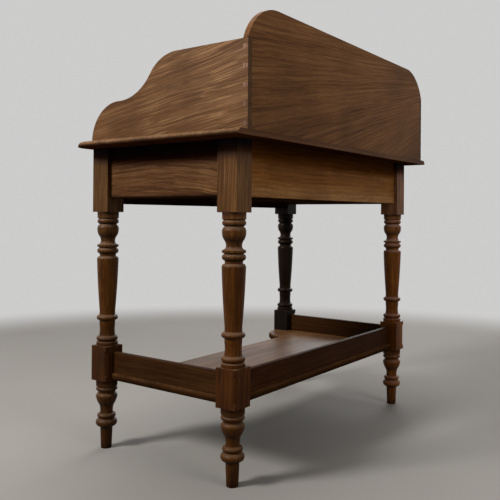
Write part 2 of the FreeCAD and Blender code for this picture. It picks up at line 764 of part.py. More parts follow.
# Shelf: a board notched round the legs, with a nosed edge and its front drawn back between two lobes

shelf_side = side_face - dim.shelf_set_back
shelf_back = back_face - dim.shelf_set_back
shelf_front = front_face + dim.shelf_front_set_back
radius = dim.shelf_lobe_radius
recess_y = shelf_front + dim.shelf_recess
recess_x = inner_side - root(radius * radius - (radius - dim.shelf_recess) * (radius - dim.shelf_recess))
lobe_x, lobe_y = inner_side - radius * QUARTER_ARC_SHARE, shelf_front + radius * (1 - QUARTER_ARC_SHARE)
shelf_outline = (inner_side, shelf_back), [
    ((-inner_side, shelf_back),), ((-inner_side, inner_back),), ((-shelf_side, inner_back),),
    ((-shelf_side, inner_front),), ((-inner_side, inner_front),), ((-inner_side, shelf_front),),
    ((-lobe_x, lobe_y), (-recess_x, recess_y)), ((recess_x, recess_y),),
    ((lobe_x, lobe_y), (inner_side, shelf_front)),
    ((inner_side, inner_front),), ((shelf_side, inner_front),), ((shelf_side, inner_back),),
    ((inner_side, inner_back),), ((inner_side, shelf_back),),
]


def shelf_edge_shows(spot):
    """True for the long edges above and below, but not in the notches or at the corners."""
    off_face = min(abs(spot.z), abs(spot.z - dim.shelf_thickness.value))
    slip = dim.shelf_nose_radius.value / 2
    beside_legs = abs(spot.x) > inner_side.value - slip
    behind_legs = abs(spot.y - mid_depth.value) > inner_depth.value - slip
    return off_face < slip and not (beside_legs and behind_legs)


shelf_plain = plank("shelf_plain", "XY_Plane", shelf_outline, *shelf_z)
soften(shelf_plain, dim.shelf_nose_radius, shelf_edge_shows)
node("shelf_board", cut("shelf_cut", join("shelf_whole", [shelf_plain] + shelf_tabs), shelf_holes))


# Low gallery: three plain boards on the shelf, housed in the legs

for side, way in SIDES.items():
    board = box("low_side_board_" + side, wide(way, *low_gallery_x), (inner_front, inner_back), low_gallery_z)
    whole = join("low_side_whole_" + side, [board] + low_side_tenons[side])
    node("low_gallery_" + side, cut("low_side_cut_" + side, whole, shelf_holes))
board = box("low_back_board", across, low_gallery_y, low_gallery_z)
node("low_gallery_back", cut("low_back_cut", join("low_back_whole", [board] + low_back_tenons), shelf_holes))


# Check every object, then write each piece to its own file

doc.recompute()
for thing in doc.Objects:
    if "Invalid" in thing.State or "Error" in thing.State:
        raise RuntimeError("%s could not be made: %s" % (thing.Name, thing.State))
for thing in NODES:
    if thing.Shape.isNull() or not thing.Shape.isValid():
        raise RuntimeError("%s has no sound solid" % thing.Label)

os.makedirs("parts", exist_ok=True)
for thing in NODES:
    thing.Shape.exportStep("parts/%s.step" % thing.Label)
print("%d nodes written" % len(NODES))
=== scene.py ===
import math

import bmesh
import bpy
from mathutils import Euler, Matrix, Vector


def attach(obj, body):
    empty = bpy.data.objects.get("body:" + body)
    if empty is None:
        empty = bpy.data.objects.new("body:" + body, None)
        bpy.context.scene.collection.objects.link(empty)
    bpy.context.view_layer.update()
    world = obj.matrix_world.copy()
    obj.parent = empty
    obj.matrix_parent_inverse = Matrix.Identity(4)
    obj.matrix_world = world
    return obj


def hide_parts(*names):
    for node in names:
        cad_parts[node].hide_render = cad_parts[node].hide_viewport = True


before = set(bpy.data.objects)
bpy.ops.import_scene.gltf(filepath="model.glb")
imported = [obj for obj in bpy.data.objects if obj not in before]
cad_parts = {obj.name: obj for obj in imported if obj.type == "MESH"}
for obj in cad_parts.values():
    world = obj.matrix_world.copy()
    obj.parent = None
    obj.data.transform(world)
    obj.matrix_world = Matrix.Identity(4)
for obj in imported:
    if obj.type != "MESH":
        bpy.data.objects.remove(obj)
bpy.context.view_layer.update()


# Floor
# A plain pale floor, as in a studio, that melts into an equally plain pale wall all round.
# It is matt paint on board and isn't part of the stand.

FLOOR_RADIUS = 14.0
FLOOR_DARK, FLOOR_LIGHT = (0.255, 0.238, 0.219), (0.308, 0.290, 0.269)
FLOOR_CLOUDS = {"Scale": 1.3, "Detail": 4.0}
FLOOR_ROUGH, FLOOR_GLOSS = 0.8, 0.3
FADE_FROM, FADE_TO = 1.70, 2.45
WALL_COLOUR = (0.610, 0.606, 0.602)


def adder(tree):
    """A function that adds a node to the tree, with its settings and with its inputs, linked or set."""

    def add(kind, inputs, **settings):
        made = tree.nodes.new(kind)
        for key, value in settings.items():
            setattr(made, key, value)
        for key, value in inputs.items():
            if isinstance(value, bpy.types.NodeSocket):
                tree.links.new(value, made.inputs[key])
            else:
                made.inputs[key].default_value = value
        return made

    return add


def nodes_of(name):
    """A new material: its node adder, what joins a socket to its shader, the shader and the material itself."""
    material = bpy.data.materials.new(name)
    material.use_nodes = True
    tree = material.node_tree
    shader = tree.nodes["Principled BSDF"]

    def join(socket, key):
        tree.links.new(socket, shader.inputs[key])

    return adder(tree), join, shader, material


def maths(add, operation, *values):
    """The result of a math node."""
    return add("ShaderNodeMath", dict(enumerate(values)), operation=operation).outputs["Value"]


def two_tones(add, share, dark, light):
    """The colour that a share of 0 to 1 picks between a dark and a light one."""
    ramp = add("ShaderNodeValToRGB", {"Fac": share})
    for end, colour in zip(ramp.color_ramp.elements, (dark, light)):
        end.color = (*colour, 1)
    return ramp.outputs["Color"]


def seen_rays(add):
    """1 for the camera's rays and for those that a glossy or clear surface sends on, else 0."""
    rays = add("ShaderNodeLightPath", {}).outputs
    seen = maths(add, "MAXIMUM", rays["Is Camera Ray"], rays["Is Glossy Ray"])
    return maths(add, "MAXIMUM", seen, rays["Is Transmission Ray"])


add, join, shader, paint = nodes_of("matt_paint")
place = add("ShaderNodeTexCoord", {}).outputs["Object"]
cloud = add("ShaderNodeTexNoise", {"Vector": place, **FLOOR_CLOUDS})
join(two_tones(add, cloud.outputs["Fac"], FLOOR_DARK, FLOOR_LIGHT), "Base Color")
shader.inputs["Roughness"].default_value = FLOOR_ROUGH
shader.inputs["Specular IOR Level"].default_value = FLOOR_GLOSS
spread = add("ShaderNodeVectorMath", {0: place}, operation="LENGTH")
fade = add("ShaderNodeMapRange", {"Value": spread.outputs["Value"], "From Min": FADE_FROM, "From Max": FADE_TO},
           interpolation_type="SMOOTHSTEP")
shown = maths(add, "MULTIPLY", fade.outputs["Result"], seen_rays(add))
far = add("ShaderNodeEmission", {"Color": (*WALL_COLOUR, 1)})
both = add("ShaderNodeMixShader", {0: shown, 1: shader.outputs["BSDF"], 2: far.outputs["Emission"]})
ends = paint.node_tree
ends.links.new(both.outputs["Shader"], ends.nodes["Material Output"].inputs["Surface"])

bpy.ops.object.select_all(action="DESELECT")
bpy.ops.mesh.primitive_circle_add(vertices=96, radius=FLOOR_RADIUS, fill_type="NGON")
floor = bpy.context.object
floor.name = "studio_floor"
floor.data.materials.append(paint)


# Camera and light
# The camera stands low behind the stand's right rear leg, at the photograph's viewing angle.
# The strongest lamp is at the right front; larger, weaker ones fill in from the rear, the left and above.

VIEW_YAW = math.radians(-144.05)
CAMERA_PLACE = (1.46061, 1.02827, 0.55386)
CAMERA_PITCH = math.radians(0.32)
CAMERA_ROLL = math.radians(0.42)
SENSOR_WIDTH, LENS, SEEN_TO = 36, 47.98, 60
FRAME_SIZE = 500
AXIS_PIXEL = (259.51, 212.38)

bpy.ops.object.camera_add(location=CAMERA_PLACE)
camera = bpy.context.object
turn = Euler((math.pi / 2 + CAMERA_PITCH, 0, VIEW_YAW - math.pi / 2)).to_matrix()
camera.rotation_euler = (turn @ Matrix.Rotation(CAMERA_ROLL, 3, "Z")).to_euler()
camera.data.sensor_width = SENSOR_WIDTH
camera.data.lens = LENS
camera.data.shift_x = (FRAME_SIZE / 2 - AXIS_PIXEL[0]) / FRAME_SIZE
camera.data.shift_y = (AXIS_PIXEL[1] - FRAME_SIZE / 2) / FRAME_SIZE
camera.data.clip_end = SEEN_TO
bpy.context.scene.camera = camera

# Each lamp's place, width, power and colour
LAMPS = {
    "key": ((2.8, -1.2, 2.35), 0.9, 122.0, (1.0, 0.985, 0.965)),
    "fill": ((0.6, 3.4, 2.1), 2.0, 44.0, (1.0, 0.98, 0.95)),
    "top": ((-0.5, -0.5, 3.7), 2.2, 48.0, (1.0, 1.0, 1.0)),
    "left": ((-3.2, -0.9, 1.8), 2.2, 34.0, (1.0, 1.0, 1.0)),
}
LAMP_AIM = Vector((0, 0, 0.45))
for name, (spot, width, power, colour) in LAMPS.items():
    aim = (LAMP_AIM - Vector(spot)).to_track_quat("-Z", "Y").to_euler()
    bpy.ops.object.light_add(type="AREA", location=spot, rotation=aim)
    lamp = bpy.context.object
    lamp.name = name + "_lamp"
    lamp.data.shape = "DISK"
    lamp.data.size = width
    lamp.data.energy = power
    lamp.data.color = colour
    lamp.visible_camera = False

AMBIENT, AMBIENT_COLOUR = 0.15, (0.99, 1.0, 1.0)
world = bpy.data.worlds.new("soft_room")
bpy.context.scene.world = world
world.use_nodes = True
tree = world.node_tree
add = adder(tree)
dim_sky = add("ShaderNodeBackground", {"Color": (*AMBIENT_COLOUR, 1), "Strength": AMBIENT})
wall = add("ShaderNodeBackground", {"Color": (*WALL_COLOUR, 1), "Strength": 1.0})
sky = add("ShaderNodeMixShader", {0: seen_rays(add), 1: dim_sky.outputs["Background"],
                                  2: wall.outputs["Background"]})
tree.links.new(sky.outputs["Shader"], tree.nodes["World Output"].inputs["Surface"])
bpy.context.scene.view_settings.view_transform = "Standard"


# Legs
# Each is one length of dark hardwood, left square where the rails and the shelf join it and turned between.
# The squares' arrises are softened, and the outer rear one at the shelf has a stopped chamfer.

MM = 0.001
LEG_SQUARE = 51 * MM
LEG_X, LEG_FRONT_Y, LEG_REAR_Y = 382 * MM, -201 * MM, 182 * MM
FOOT_HEIGHT, BLOCK_TOP, COLLAR_TOP, TOP_UNDER = 162 * MM, 244 * MM, 561 * MM, 712 * MM
CHAMFER, CHAMFER_STOP, LEG_ARRIS = 6 * MM, 8 * MM, 0.7 * MM
# Rows of radius and height shares: one pair ends a straight step, two pairs are a curve's middle and end
FOOT_SHARES = [
    (0.0, 0.0), (0.49, 0.0), (0.565, 0.290), (0.60, 0.308, 0.68, 0.320),
    (0.985, 0.374, 0.80, 0.430), (0.735, 0.434), (0.735, 0.446),
    (0.855, 0.478, 0.74, 0.508), (0.60, 0.512), (0.585, 0.565, 0.655, 0.628),
    (0.87, 0.694, 0.975, 0.748), (0.965, 0.780, 0.87, 0.802), (0.79, 0.810), (0.79, 0.838),
    (0.98, 0.868, 0.88, 0.897), (0.86, 0.902), (0.86, 0.909), (0.985, 0.914), (0.985, 1.03), (0.0, 1.03),
]
SHAFT_SHARES = [
    (0.0, -0.01), (0.985, -0.01), (0.985, 0.026), (0.87, 0.030), (0.87, 0.036),
    (0.985, 0.052, 0.88, 0.068), (0.74, 0.073), (0.69, 0.115, 0.725, 0.160), (0.73, 0.190),
    (0.985, 0.207, 0.84, 0.224), (0.725, 0.231), (0.72, 0.262), (0.885, 0.450, 0.99, 0.640),
    (0.975, 0.655, 0.88, 0.665), (0.745, 0.668), (0.745, 0.684), (0.80, 0.689),
    (0.985, 0.709, 0.90, 0.726), (0.82, 0.729), (0.82, 0.735), (0.985, 0.740), (0.985, 0.756),
    (0.74, 0.765, 0.655, 0.784), (0.685, 0.801, 0.76, 0.816), (0.93, 0.841, 0.985, 0.868),
    (0.965, 0.889, 0.86, 0.904), (0.785, 0.907), (0.785, 0.911),
    (0.98, 0.930, 0.88, 0.948), (0.87, 0.951), (0.985, 0.956), (0.985, 1.02), (0.0, 1.02),
]
TURNED_SIDES, ARC_STEP, FEWEST_STEPS, MOST_STEPS = 56, 1.3 * MM, 4, 28
WELD_GAP = 0.02 * MM
ARRIS_ANGLE, SMOOTH_ANGLE = math.radians(32), math.radians(38)

# The legs' tone, the tone of their worn arrises, and the tone of the painted light on faces turned up
LEG_TONE, LEG_WORN_TONE, LEG_TOP_LIGHT_TONE = (0.074, 0.0305, 0.0085), (0.135, 0.062, 0.022), (0.195, 0.115, 0.070)
LEG_WOOD = {"bands": 84.0, "sway": 0.05, "rough": 0.38, "gloss": 0.08, "contrast": 1.6, "glints": 0.6, "clouds": 0.25}
# Shade by height along each leg: painted shade under the top, painted shadow under the corners of the top block and
# the shelf block, the shelf block darker as painted shade, and the wood darker towards the feet, partly as painted
# shade
LEG_SHADE_BY_HEIGHT = (
    (0.004, (0.24, 0.18, 0.08)), (0.014, (0.42, 0.32, 0.11)), (0.044, (0.46, 0.35, 0.12)),
    (0.056, (0.62, 0.48, 0.17)), (0.13, (0.62, 0.48, 0.17)), (0.149, (0.52, 0.41, 0.15)),
    (0.156, (0.28, 0.20, 0.08)), (0.1605, (0.20, 0.14, 0.05)), (0.164, (0.44, 0.28, 0.05)),
    (0.24, (0.44, 0.28, 0.05)), (0.31, (0.74, 0.53, 0.14)), (0.448, (0.76, 0.56, 0.17)),
    (0.475, (1.0, 0.84, 0.42)), (0.551, (1.0, 0.84, 0.60)), (0.5565, (0.42, 0.34, 0.18)),
    (0.5600, (0.22, 0.17, 0.08)), (0.5625, (1, 0.98, 0.95)), (0.60, (1, 1, 1)), (0.655, (1, 1, 1)),
    (0.668, (0.88, 0.84, 0.84)), (0.678, (0.58, 0.50, 0.43)), (0.689, (0.24, 0.16, 0.10)),
    (0.700, (0.06, 0.03, 0.015)), (0.712, (0.02, 0.01, 0.005)),
)
# Each leg's way and Y; how light its wood is in red, green and blue, which is its own tone on the right legs,
# painted light on the rear left leg and painted shade on the front left one; how much painted light lifts it low
# down; and the side on which it is painted lighter or darker
LEGS = {
    "rear_right": (1, LEG_REAR_Y, (0.98, 0.98, 0.98), 1.0, None),
    "rear_left": (-1, LEG_REAR_Y, (1.05, 1.06, 1.50), 1.6, (0.91, 0.42, 1.75)),
    "front_left": (-1, LEG_FRONT_Y, (0.85, 0.85, 0.85), 1.0, (0.71, 0.71, 0.12)),
    "front_right": (1, LEG_FRONT_Y, (0.90, 0.94, 0.98), 1.0, None),
}

# The wood's patterns: scale along and across the grain, detail and roughness. Across the grain, the first two
# are multiplied by the wood's bands.
FIGURE, DASHES = (1.3, 0.5, 7.0, 0.74), (4.5, 3.4, 3.0, 0.55)
FIBRES, PORES, SILK = (16.0, 430.0, 3.0, 0.6), (60.0, 1500.0, 1.0, 0.5), (6.0, 420.0, 2.0, 0.5)
RINGS = {"Scale": 30.0, "Distortion": 4.0, "Detail": 3.0, "Detail Scale": 0.6}
PATCHES = {"Scale": 7.0, "Detail": 3.0}
RING_SHARE, FIBRE_SHARE, FINE_SHARE = 0.08, 0.40, 0.42
SEED_MOVE = (0.731, 0.317, 0.543)
# How fine the grain's two waverings are, along and across it, and how far the second goes
BROAD_SWAY, SMALL_SWAY, SMALL_SWAY_SHARE = (2.6, 6.0), (14.0, 30.0), 0.07
# The values between which each pattern comes in
SILK_SPAN, PORE_SPAN, GLINT_SPAN, CLOUD_SPAN, MATT_SPAN = (
    (0.52, 0.66), (0.60, 0.72), (0.40, 0.62), (0.32, 0.68), (0.3, 0.7))
FEWEST_GLINTS, ROUGHEST, SMOOTHEST = 0.15, 0.07, -0.05
# Dark and light streaks and glints as shares of the wood's tone, and painted shade below as shares of the top light
DARK_SHARES, LIGHT_SHARES, GLINT_SHARES = (0.50, 0.44, 0.40), (1.62, 1.80, 2.10), (2.3, 2.8, 3.6)
UNDER_SHADE_SHARES = (0.05, 0.05, 0.05)
# How far a face leans up, down or to a side as painted light or painted shade comes in, and how much at most
TOP_LIGHT_SPAN, UNDER_SHADE_SPAN, SIDE_SHADE_SPAN, TOP_LIGHT_MOST, UNDER_SHADE_MOST = (0.10, 0.75), (-0.10, -0.65), (-0.35, 0.25), 0.75, 0.75
# The heights between which the painted top light grows, and the shades between which darkened wood grows rougher
TOP_LIGHT_Z, TOP_LIGHT_LOW, DULL_SPAN, DULL_MOST = (0.17, 0.48), 0.38, (0.62, 0.20), 0.50
TONE_MIDDLE, TONE_REACH = 0.49, 0.17
PORE_SHADE, FIBRE_RISE = 0.60, 0.35
BUMP = {"Strength": 0.30, "Distance": 0.4 * MM}

X_AXIS, Y_AXIS, Z_AXIS = Vector((1, 0, 0)), Vector((0, 1, 0)), Vector((0, 0, 1))


def times(tone, shares):
    """A tone changed by shares of its red, green and blue."""
    return [part * share for part, share in zip(tone, shares)]


def wood(name, grain, tone, seed, tilt=(0, 0, 0), bow=None, fan=None, sway=0.030, bands=62.0, rough=0.50,
         gloss=0.07, contrast=1.3, glints=0.35, clouds=0.16, heights=None, top_light=None, side=None):
    """Polished hardwood in the piece's own space: broad figure, growth lines, light dashes, fibres and pores.

    The figure runs along the grain's axis, turned by the tilt in degrees. It may bow across its length, by an
    amount and about a place, or fan out from a spot of X and Z. Sway is how far it wavers, bands how fine it is.
    Heights are pairs of Z and of the wood's shade there, mostly painted shade. Top light is the tone painted on what
    faces up, as painted light from above; what faces down is painted near black, as painted shade. Side is a
    direction in X and Y, and how light the wood is painted on that side, as painted light or painted shade.
    """
    add, join, shader, material = nodes_of(name)
    coordinates = add("ShaderNodeTexCoord", {}).outputs
    place, facing = coordinates["Object"], coordinates["Normal"]

    def vectors(operation, *values):
        """The result of a vector math node."""
        return add("ShaderNodeVectorMath", dict(enumerate(values)), operation=operation).outputs["Vector"]

    def noise(vector, along, across, detail, roughness=0.5):
        """Soft noise, drawn out along the grain."""
        drawn = vectors("MULTIPLY", vector, (along, across, across))
        return add("ShaderNodeTexNoise", {"Vector": drawn, "Scale": 1.0, "Detail": detail,
                                          "Roughness": roughness}).outputs

    def shifted(vector, along, across, amount):
        """The vector moved about across the grain."""
        centred = vectors("SUBTRACT", noise(vector, along, across, 1.0)["Color"], (0.5, 0.5, 0.5))
        return vectors("MULTIPLY_ADD", centred, (0, amount, amount), vector)

    def ranged(value, span, low, high):
        """The value carried over from its own span to another, from low to high."""
        return add("ShaderNodeMapRange", {"Value": value, "From Min": span[0], "From Max": span[1], "To Min": low,
                                          "To Max": high}).outputs["Result"]

    def mixed(share, first, second):
        """A value between two others."""
        return add("ShaderNodeMix", {"Factor": share, "A": first, "B": second}).outputs[0]

    def blended(share, first, second, way="MIX"):
        """A colour between two others, or their product."""
        return add("ShaderNodeMix", {"Factor": share, "A": first, "B": second}, data_type="RGBA",
                   blend_type=way).outputs[2]

    apart = add("ShaderNodeSeparateXYZ", {"Vector": place}).outputs
    if fan:
        along = maths(add, "SUBTRACT", apart["X"], fan[0])
        across = maths(add, "DIVIDE", maths(add, "SUBTRACT", apart["Z"], fan[1]), along)
        laid = add("ShaderNodeCombineXYZ", {"X": along, "Y": apart["Y"], "Z": across}).outputs["Vector"]
    else:
        quarter = {"X": (0, 0, 0), "Y": (0, 0, -math.pi / 2), "Z": (0, math.pi / 2, 0)}[grain]
        leant = add("ShaderNodeMapping", {"Vector": place, "Rotation": [math.radians(angle) for angle in tilt]})
        laid = add("ShaderNodeMapping", {"Vector": leant.outputs["Vector"], "Rotation": quarter}).outputs["Vector"]
    if bow:
        parts = add("ShaderNodeSeparateXYZ", {"Vector": laid}).outputs
        off = maths(add, "SUBTRACT", parts["X"], bow[1])
        risen = maths(add, "MULTIPLY_ADD", maths(add, "MULTIPLY", off, off), bow[0], parts["Z"])
        laid = add("ShaderNodeCombineXYZ", {"X": parts["X"], "Y": parts["Y"], "Z": risen}).outputs["Vector"]
    moved = vectors("ADD", laid, [seed * part for part in SEED_MOVE])
    swayed = shifted(shifted(moved, *BROAD_SWAY, sway), *SMALL_SWAY, sway * SMALL_SWAY_SHARE)

    figure, dashes = (noise(swayed, along, bands * across, *rest)["Fac"] for along, across, *rest in (FIGURE, DASHES))
    fibre, pore, silk = (noise(swayed, *pattern)["Fac"] for pattern in (FIBRES, PORES, SILK))
    ring = add("ShaderNodeTexWave", {"Vector": swayed, **RINGS}, wave_type="BANDS", bands_direction="Z",
               wave_profile="SIN").outputs["Fac"]
    patch = add("ShaderNodeTexNoise", {"Vector": moved, **PATCHES}).outputs["Fac"]
    grained = mixed(FINE_SHARE, mixed(RING_SHARE, figure, ring), mixed(FIBRE_SHARE, dashes, fibre))
    ramp = add("ShaderNodeValToRGB", {"Fac": grained})
    tones = ramp.color_ramp.elements
    tones[0].position, tones[1].position = 0.5 - TONE_REACH / contrast, 0.5 + TONE_REACH / contrast
    tones[0].color = (*times(tone, DARK_SHARES), 1)
    tones[1].color = (*times(tone, LIGHT_SHARES), 1)
    tones.new(TONE_MIDDLE).color = (*tone, 1)
    glint = maths(add, "MULTIPLY", ranged(silk, SILK_SPAN, 0.0, glints),
                  ranged(patch, GLINT_SPAN, FEWEST_GLINTS, 1.0))
    lit = blended(glint, ramp.outputs["Color"], (*times(tone, GLINT_SHARES), 1))
    deep = ranged(pore, PORE_SPAN, 1.0, PORE_SHADE)
    shade_value = maths(add, "MULTIPLY", deep, ranged(patch, CLOUD_SPAN, 1.0 - clouds, 1.0 + clouds))
    matt = ranged(figure, MATT_SPAN, rough + ROUGHEST, rough + SMOOTHEST)
    # Painted light or painted shade on the faces turned to one side
    if side:
        toward = add("ShaderNodeVectorMath", {0: facing, 1: (side[0], side[1], 0)}, operation="DOT_PRODUCT")
        shade_value = maths(add, "MULTIPLY", shade_value,
                            ranged(toward.outputs["Value"], SIDE_SHADE_SPAN, 1.0, side[2]))
    if heights:
        levels = add("ShaderNodeValToRGB", {"Fac": apart["Z"]})
        marks = levels.color_ramp.elements
        for index, (z, share) in enumerate([heights[0], heights[-1], *heights[1:-1]]):
            mark = marks[index] if index < 2 else marks.new(z)
            mark.position = z
            mark.color = (*share, 1)
        lit = blended(1.0, lit, levels.outputs["Color"], "MULTIPLY")
        # Where the heights darken the wood, mostly as painted shade, it is made rougher too
        level = add("ShaderNodeSeparateColor", {"Color": levels.outputs["Color"]}).outputs["Red"]
        matt = maths(add, "ADD", matt, ranged(level, DULL_SPAN, 0.0, DULL_MOST))
    if top_light:
        # Painted light from above on faces turned up, and painted shade near black on faces turned down
        lean = add("ShaderNodeSeparateXYZ", {"Vector": facing}).outputs["Z"]
        rise = maths(add, "MULTIPLY", ranged(lean, TOP_LIGHT_SPAN, 0.0, TOP_LIGHT_MOST),
                     ranged(apart["Z"], TOP_LIGHT_Z, TOP_LIGHT_LOW, 1.0))
        lit = blended(rise, lit, (*top_light, 1))
        lit = blended(ranged(lean, UNDER_SHADE_SPAN, 0.0, UNDER_SHADE_MOST), lit, (*times(top_light, UNDER_SHADE_SHARES), 1))
    join(blended(1.0, lit, shade_value, "MULTIPLY"), "Base Color")
    join(matt, "Roughness")
    bump = add("ShaderNodeBump", {"Height": maths(add, "MULTIPLY_ADD", fibre, FIBRE_RISE, deep), **BUMP})
    join(bump.outputs["Normal"], "Normal")
    shader.inputs["Specular IOR Level"].default_value = gloss
    return material


def choose(piece, kind, test):
    """In edit mode, select only the verts, edges or faces that pass the test."""
    bpy.context.tool_settings.mesh_select_mode = [kind == k for k in ("verts", "edges", "faces")]
    bpy.ops.mesh.select_all(action="DESELECT")
    mesh = bmesh.from_edit_mesh(piece.data)
    for item in getattr(mesh, kind):
        if test(item):
            item.select_set(True)
    mesh.select_flush_mode()
    bmesh.update_edit_mesh(piece.data)


def middle(item):
    """Middle of an edge or of a face."""
    return sum((vert.co for vert in item.verts), Vector()) / len(item.verts)


def take(piece):
    """Selects the piece alone and makes it the active one."""
    bpy.ops.object.select_all(action="DESELECT")
    piece.select_set(True)
    bpy.context.view_layer.objects.active = piece


def copy_of(source):
    """A free copy with a mesh of its own, selected alone."""
    copy = source.copy()
    copy.data = source.data.copy()
    copy.parent = None
    copy.hide_render = copy.hide_viewport = False
    bpy.context.collection.objects.link(copy)
    take(copy)
    return copy


def start_at(name, spot):
    """A new piece that is one point, in edit mode, to be drawn out from there."""
    bpy.ops.object.select_all(action="DESELECT")
    bpy.ops.mesh.primitive_plane_add(size=0.01, location=spot)
    piece = bpy.context.object
    piece.name = piece.data.name = name
    bpy.ops.object.transform_apply(location=True, rotation=True, scale=True)
    bpy.ops.object.mode_set(mode="EDIT")
    bpy.context.tool_settings.mesh_select_mode = (True, False, False)
    bpy.ops.mesh.select_all(action="SELECT")
    bpy.ops.mesh.merge(type="CENTER")
    return piece


def draw(origin, u_axis, v_axis, start, steps, arc_step):
    """Draws an outline from the selected point: each step is an end, or an arc's middle and end."""
    normal = u_axis.cross(v_axis)
    at = Vector(start)
    for step in steps:
        end = Vector(step[-1])
        if len(step) == 1:
            move = u_axis * (end.x - at.x) + v_axis * (end.y - at.y)
            bpy.ops.mesh.extrude_region_move(TRANSFORM_OT_translate={"value": move})
        else:
            near, far = Vector(step[0]) - at, end - at
            area = near.cross(far) * 2
            centre = at + Vector((far.y * near.length_squared - near.y * far.length_squared,
                                  near.x * far.length_squared - far.x * near.length_squared)) / area
            first, last = at - centre, end - centre
            angle = math.atan2(first.cross(last), first.dot(last))
            if angle * area < 0:
                angle += math.copysign(math.tau, area)
            count = min(MOST_STEPS, max(FEWEST_STEPS, math.ceil(abs(angle) * first.length / arc_step)))
            bpy.ops.mesh.spin(steps=count, angle=-angle, axis=normal,
                              center=origin + u_axis * centre.x + v_axis * centre.y)
        at = end


def turned(name, foot, axis, out, rows, radius, length, sides=TURNED_SIDES):
    """A piece spun round an axis, from rows of radius and height shares; the first row lies on the axis."""
    steps = [[(row[k] * radius, row[k + 1] * length) for k in range(0, len(row), 2)] for row in rows]
    begin = steps[0][0]
    piece = start_at(name, foot + out * begin[0] + axis * begin[1])
    draw(foot, out, axis, begin, steps[1:], ARC_STEP)
    bpy.ops.mesh.select_all(action="SELECT")
    bpy.ops.mesh.spin(steps=sides, angle=math.tau, center=foot, axis=axis)
    bpy.ops.mesh.select_all(action="SELECT")
    bpy.ops.mesh.remove_doubles(threshold=WELD_GAP)
    bpy.ops.mesh.normals_make_consistent(inside=False)
    bpy.ops.object.mode_set(mode="OBJECT")
    return piece


def block(name, low, high):
    """A block between two corners."""
    low, high = Vector(low), Vector(high)
    bpy.ops.object.select_all(action="DESELECT")
    bpy.ops.mesh.primitive_cube_add(size=1, location=(low + high) / 2)
    piece = bpy.context.object
    piece.name = piece.data.name = name
    piece.scale = high - low
    bpy.ops.object.transform_apply(location=True, rotation=True, scale=True)
    return piece


def combine(piece, other, operation):
    """Joins another solid to the piece, or cuts it away, and deletes it."""
    tool = piece.modifiers.new("tool", "BOOLEAN")
    tool.object, tool.operation, tool.solver = other, operation, "EXACT"
    bpy.context.view_layer.objects.active = piece
    bpy.ops.object.modifier_apply(modifier=tool.name)
    bpy.data.objects.remove(other)


def soften(piece, width, segments=2, worn=False):
    """Rounds every arris, worn or not, and shades the rest smooth. Worn strips get the piece's second material."""
    take(piece)
    edge = piece.modifiers.new("edge", "BEVEL")
    edge.width, edge.segments, edge.limit_method = width, segments, "ANGLE"
    edge.angle_limit = ARRIS_ANGLE
    edge.miter_outer = "MITER_ARC"
    if worn:
        edge.material = 1
    bpy.ops.object.modifier_apply(modifier=edge.name)
    shade(piece)


def shade(piece):
    """Smooth shading that leaves large flat faces flat."""
    take(piece)
    bpy.ops.object.shade_smooth_by_angle(angle=SMOOTH_ANGLE)
    even = piece.modifiers.new("even", "WEIGHTED_NORMAL")
    even.keep_sharp = True
    bpy.ops.object.modifier_apply(modifier=even.name)


def dress(piece, index, test):
    """Gives the faces that pass the test another of the piece's materials."""
    for face in piece.data.polygons:
        if test(face):
            face.material_index = index


def finish_piece(piece, body, materials, slot, *nodes):
    """Gives a piece its materials and its body, and hides the CAD nodes that it stands for. The slot is not used."""
    for material in materials:
        piece.data.materials.append(material)
    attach(piece, body)
    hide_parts(*nodes)


half = LEG_SQUARE / 2
leg = block("leg_pattern", (-half, -half, FOOT_HEIGHT), (half, half, BLOCK_TOP))
bpy.ops.object.mode_set(mode="EDIT")
for z in (FOOT_HEIGHT + CHAMFER_STOP + CHAMFER, BLOCK_TOP - CHAMFER_STOP - CHAMFER):
    bpy.ops.mesh.select_all(action="SELECT")
    bpy.ops.mesh.bisect(plane_co=(0, 0, z), plane_no=(0, 0, 1))
choose(leg, "edges", lambda edge: min(middle(edge).xy) > half - MM
       and abs(middle(edge).z - (FOOT_HEIGHT + BLOCK_TOP) / 2) < MM)
bpy.ops.mesh.bevel(offset=CHAMFER, segments=1, affect="EDGES")
bpy.ops.object.mode_set(mode="OBJECT")
combine(leg, block("top_block", (-half, -half, COLLAR_TOP), (half, half, TOP_UNDER)), "UNION")
combine(leg, turned("foot", Vector(), Z_AXIS, X_AXIS, FOOT_SHARES, half, FOOT_HEIGHT), "UNION")
combine(leg, turned("shaft", Vector((0, 0, BLOCK_TOP)), Z_AXIS, X_AXIS, SHAFT_SHARES, half,
                    COLLAR_TOP - BLOCK_TOP), "UNION")
soften(leg, LEG_ARRIS, worn=True)
dress(leg, 2, lambda face: FOOT_HEIGHT + MM < face.center.z < BLOCK_TOP - MM and abs(face.normal.z) > 0.05)
for index, (corner, (way, y, light, low_painted_light, side)) in enumerate(LEGS.items()):
    piece = copy_of(leg)
    piece.name = piece.data.name = "turned_leg_" + corner
    piece.location = (LEG_X * way, y, 0)
    piece.rotation_euler = (0, 0, 0 if way > 0 else math.pi / 2)
    bpy.ops.object.transform_apply(location=True, rotation=True, scale=True)
    # Low down, the shades are lifted by each leg's painted light
    heights = [(z, times(share, [low_painted_light if z < BLOCK_TOP else 1] * 3)) for z, share in LEG_SHADE_BY_HEIGHT]
    top_light = times(LEG_TOP_LIGHT_TONE, light)
    leg_woods = [wood("leg_%s_%s" % (name, corner), "Z", times(tone, light), seed=3.1 + index * 1.7,
                      heights=heights, top_light=top_lit, side=side, **LEG_WOOD)
                 for name, tone, top_lit in (("wood", LEG_TONE, top_light), ("worn", LEG_WORN_TONE, top_light),
                                           ("stop", LEG_TONE, None))]
    finish_piece(piece, "frame", leg_woods, "polished_wood", "leg_" + corner)
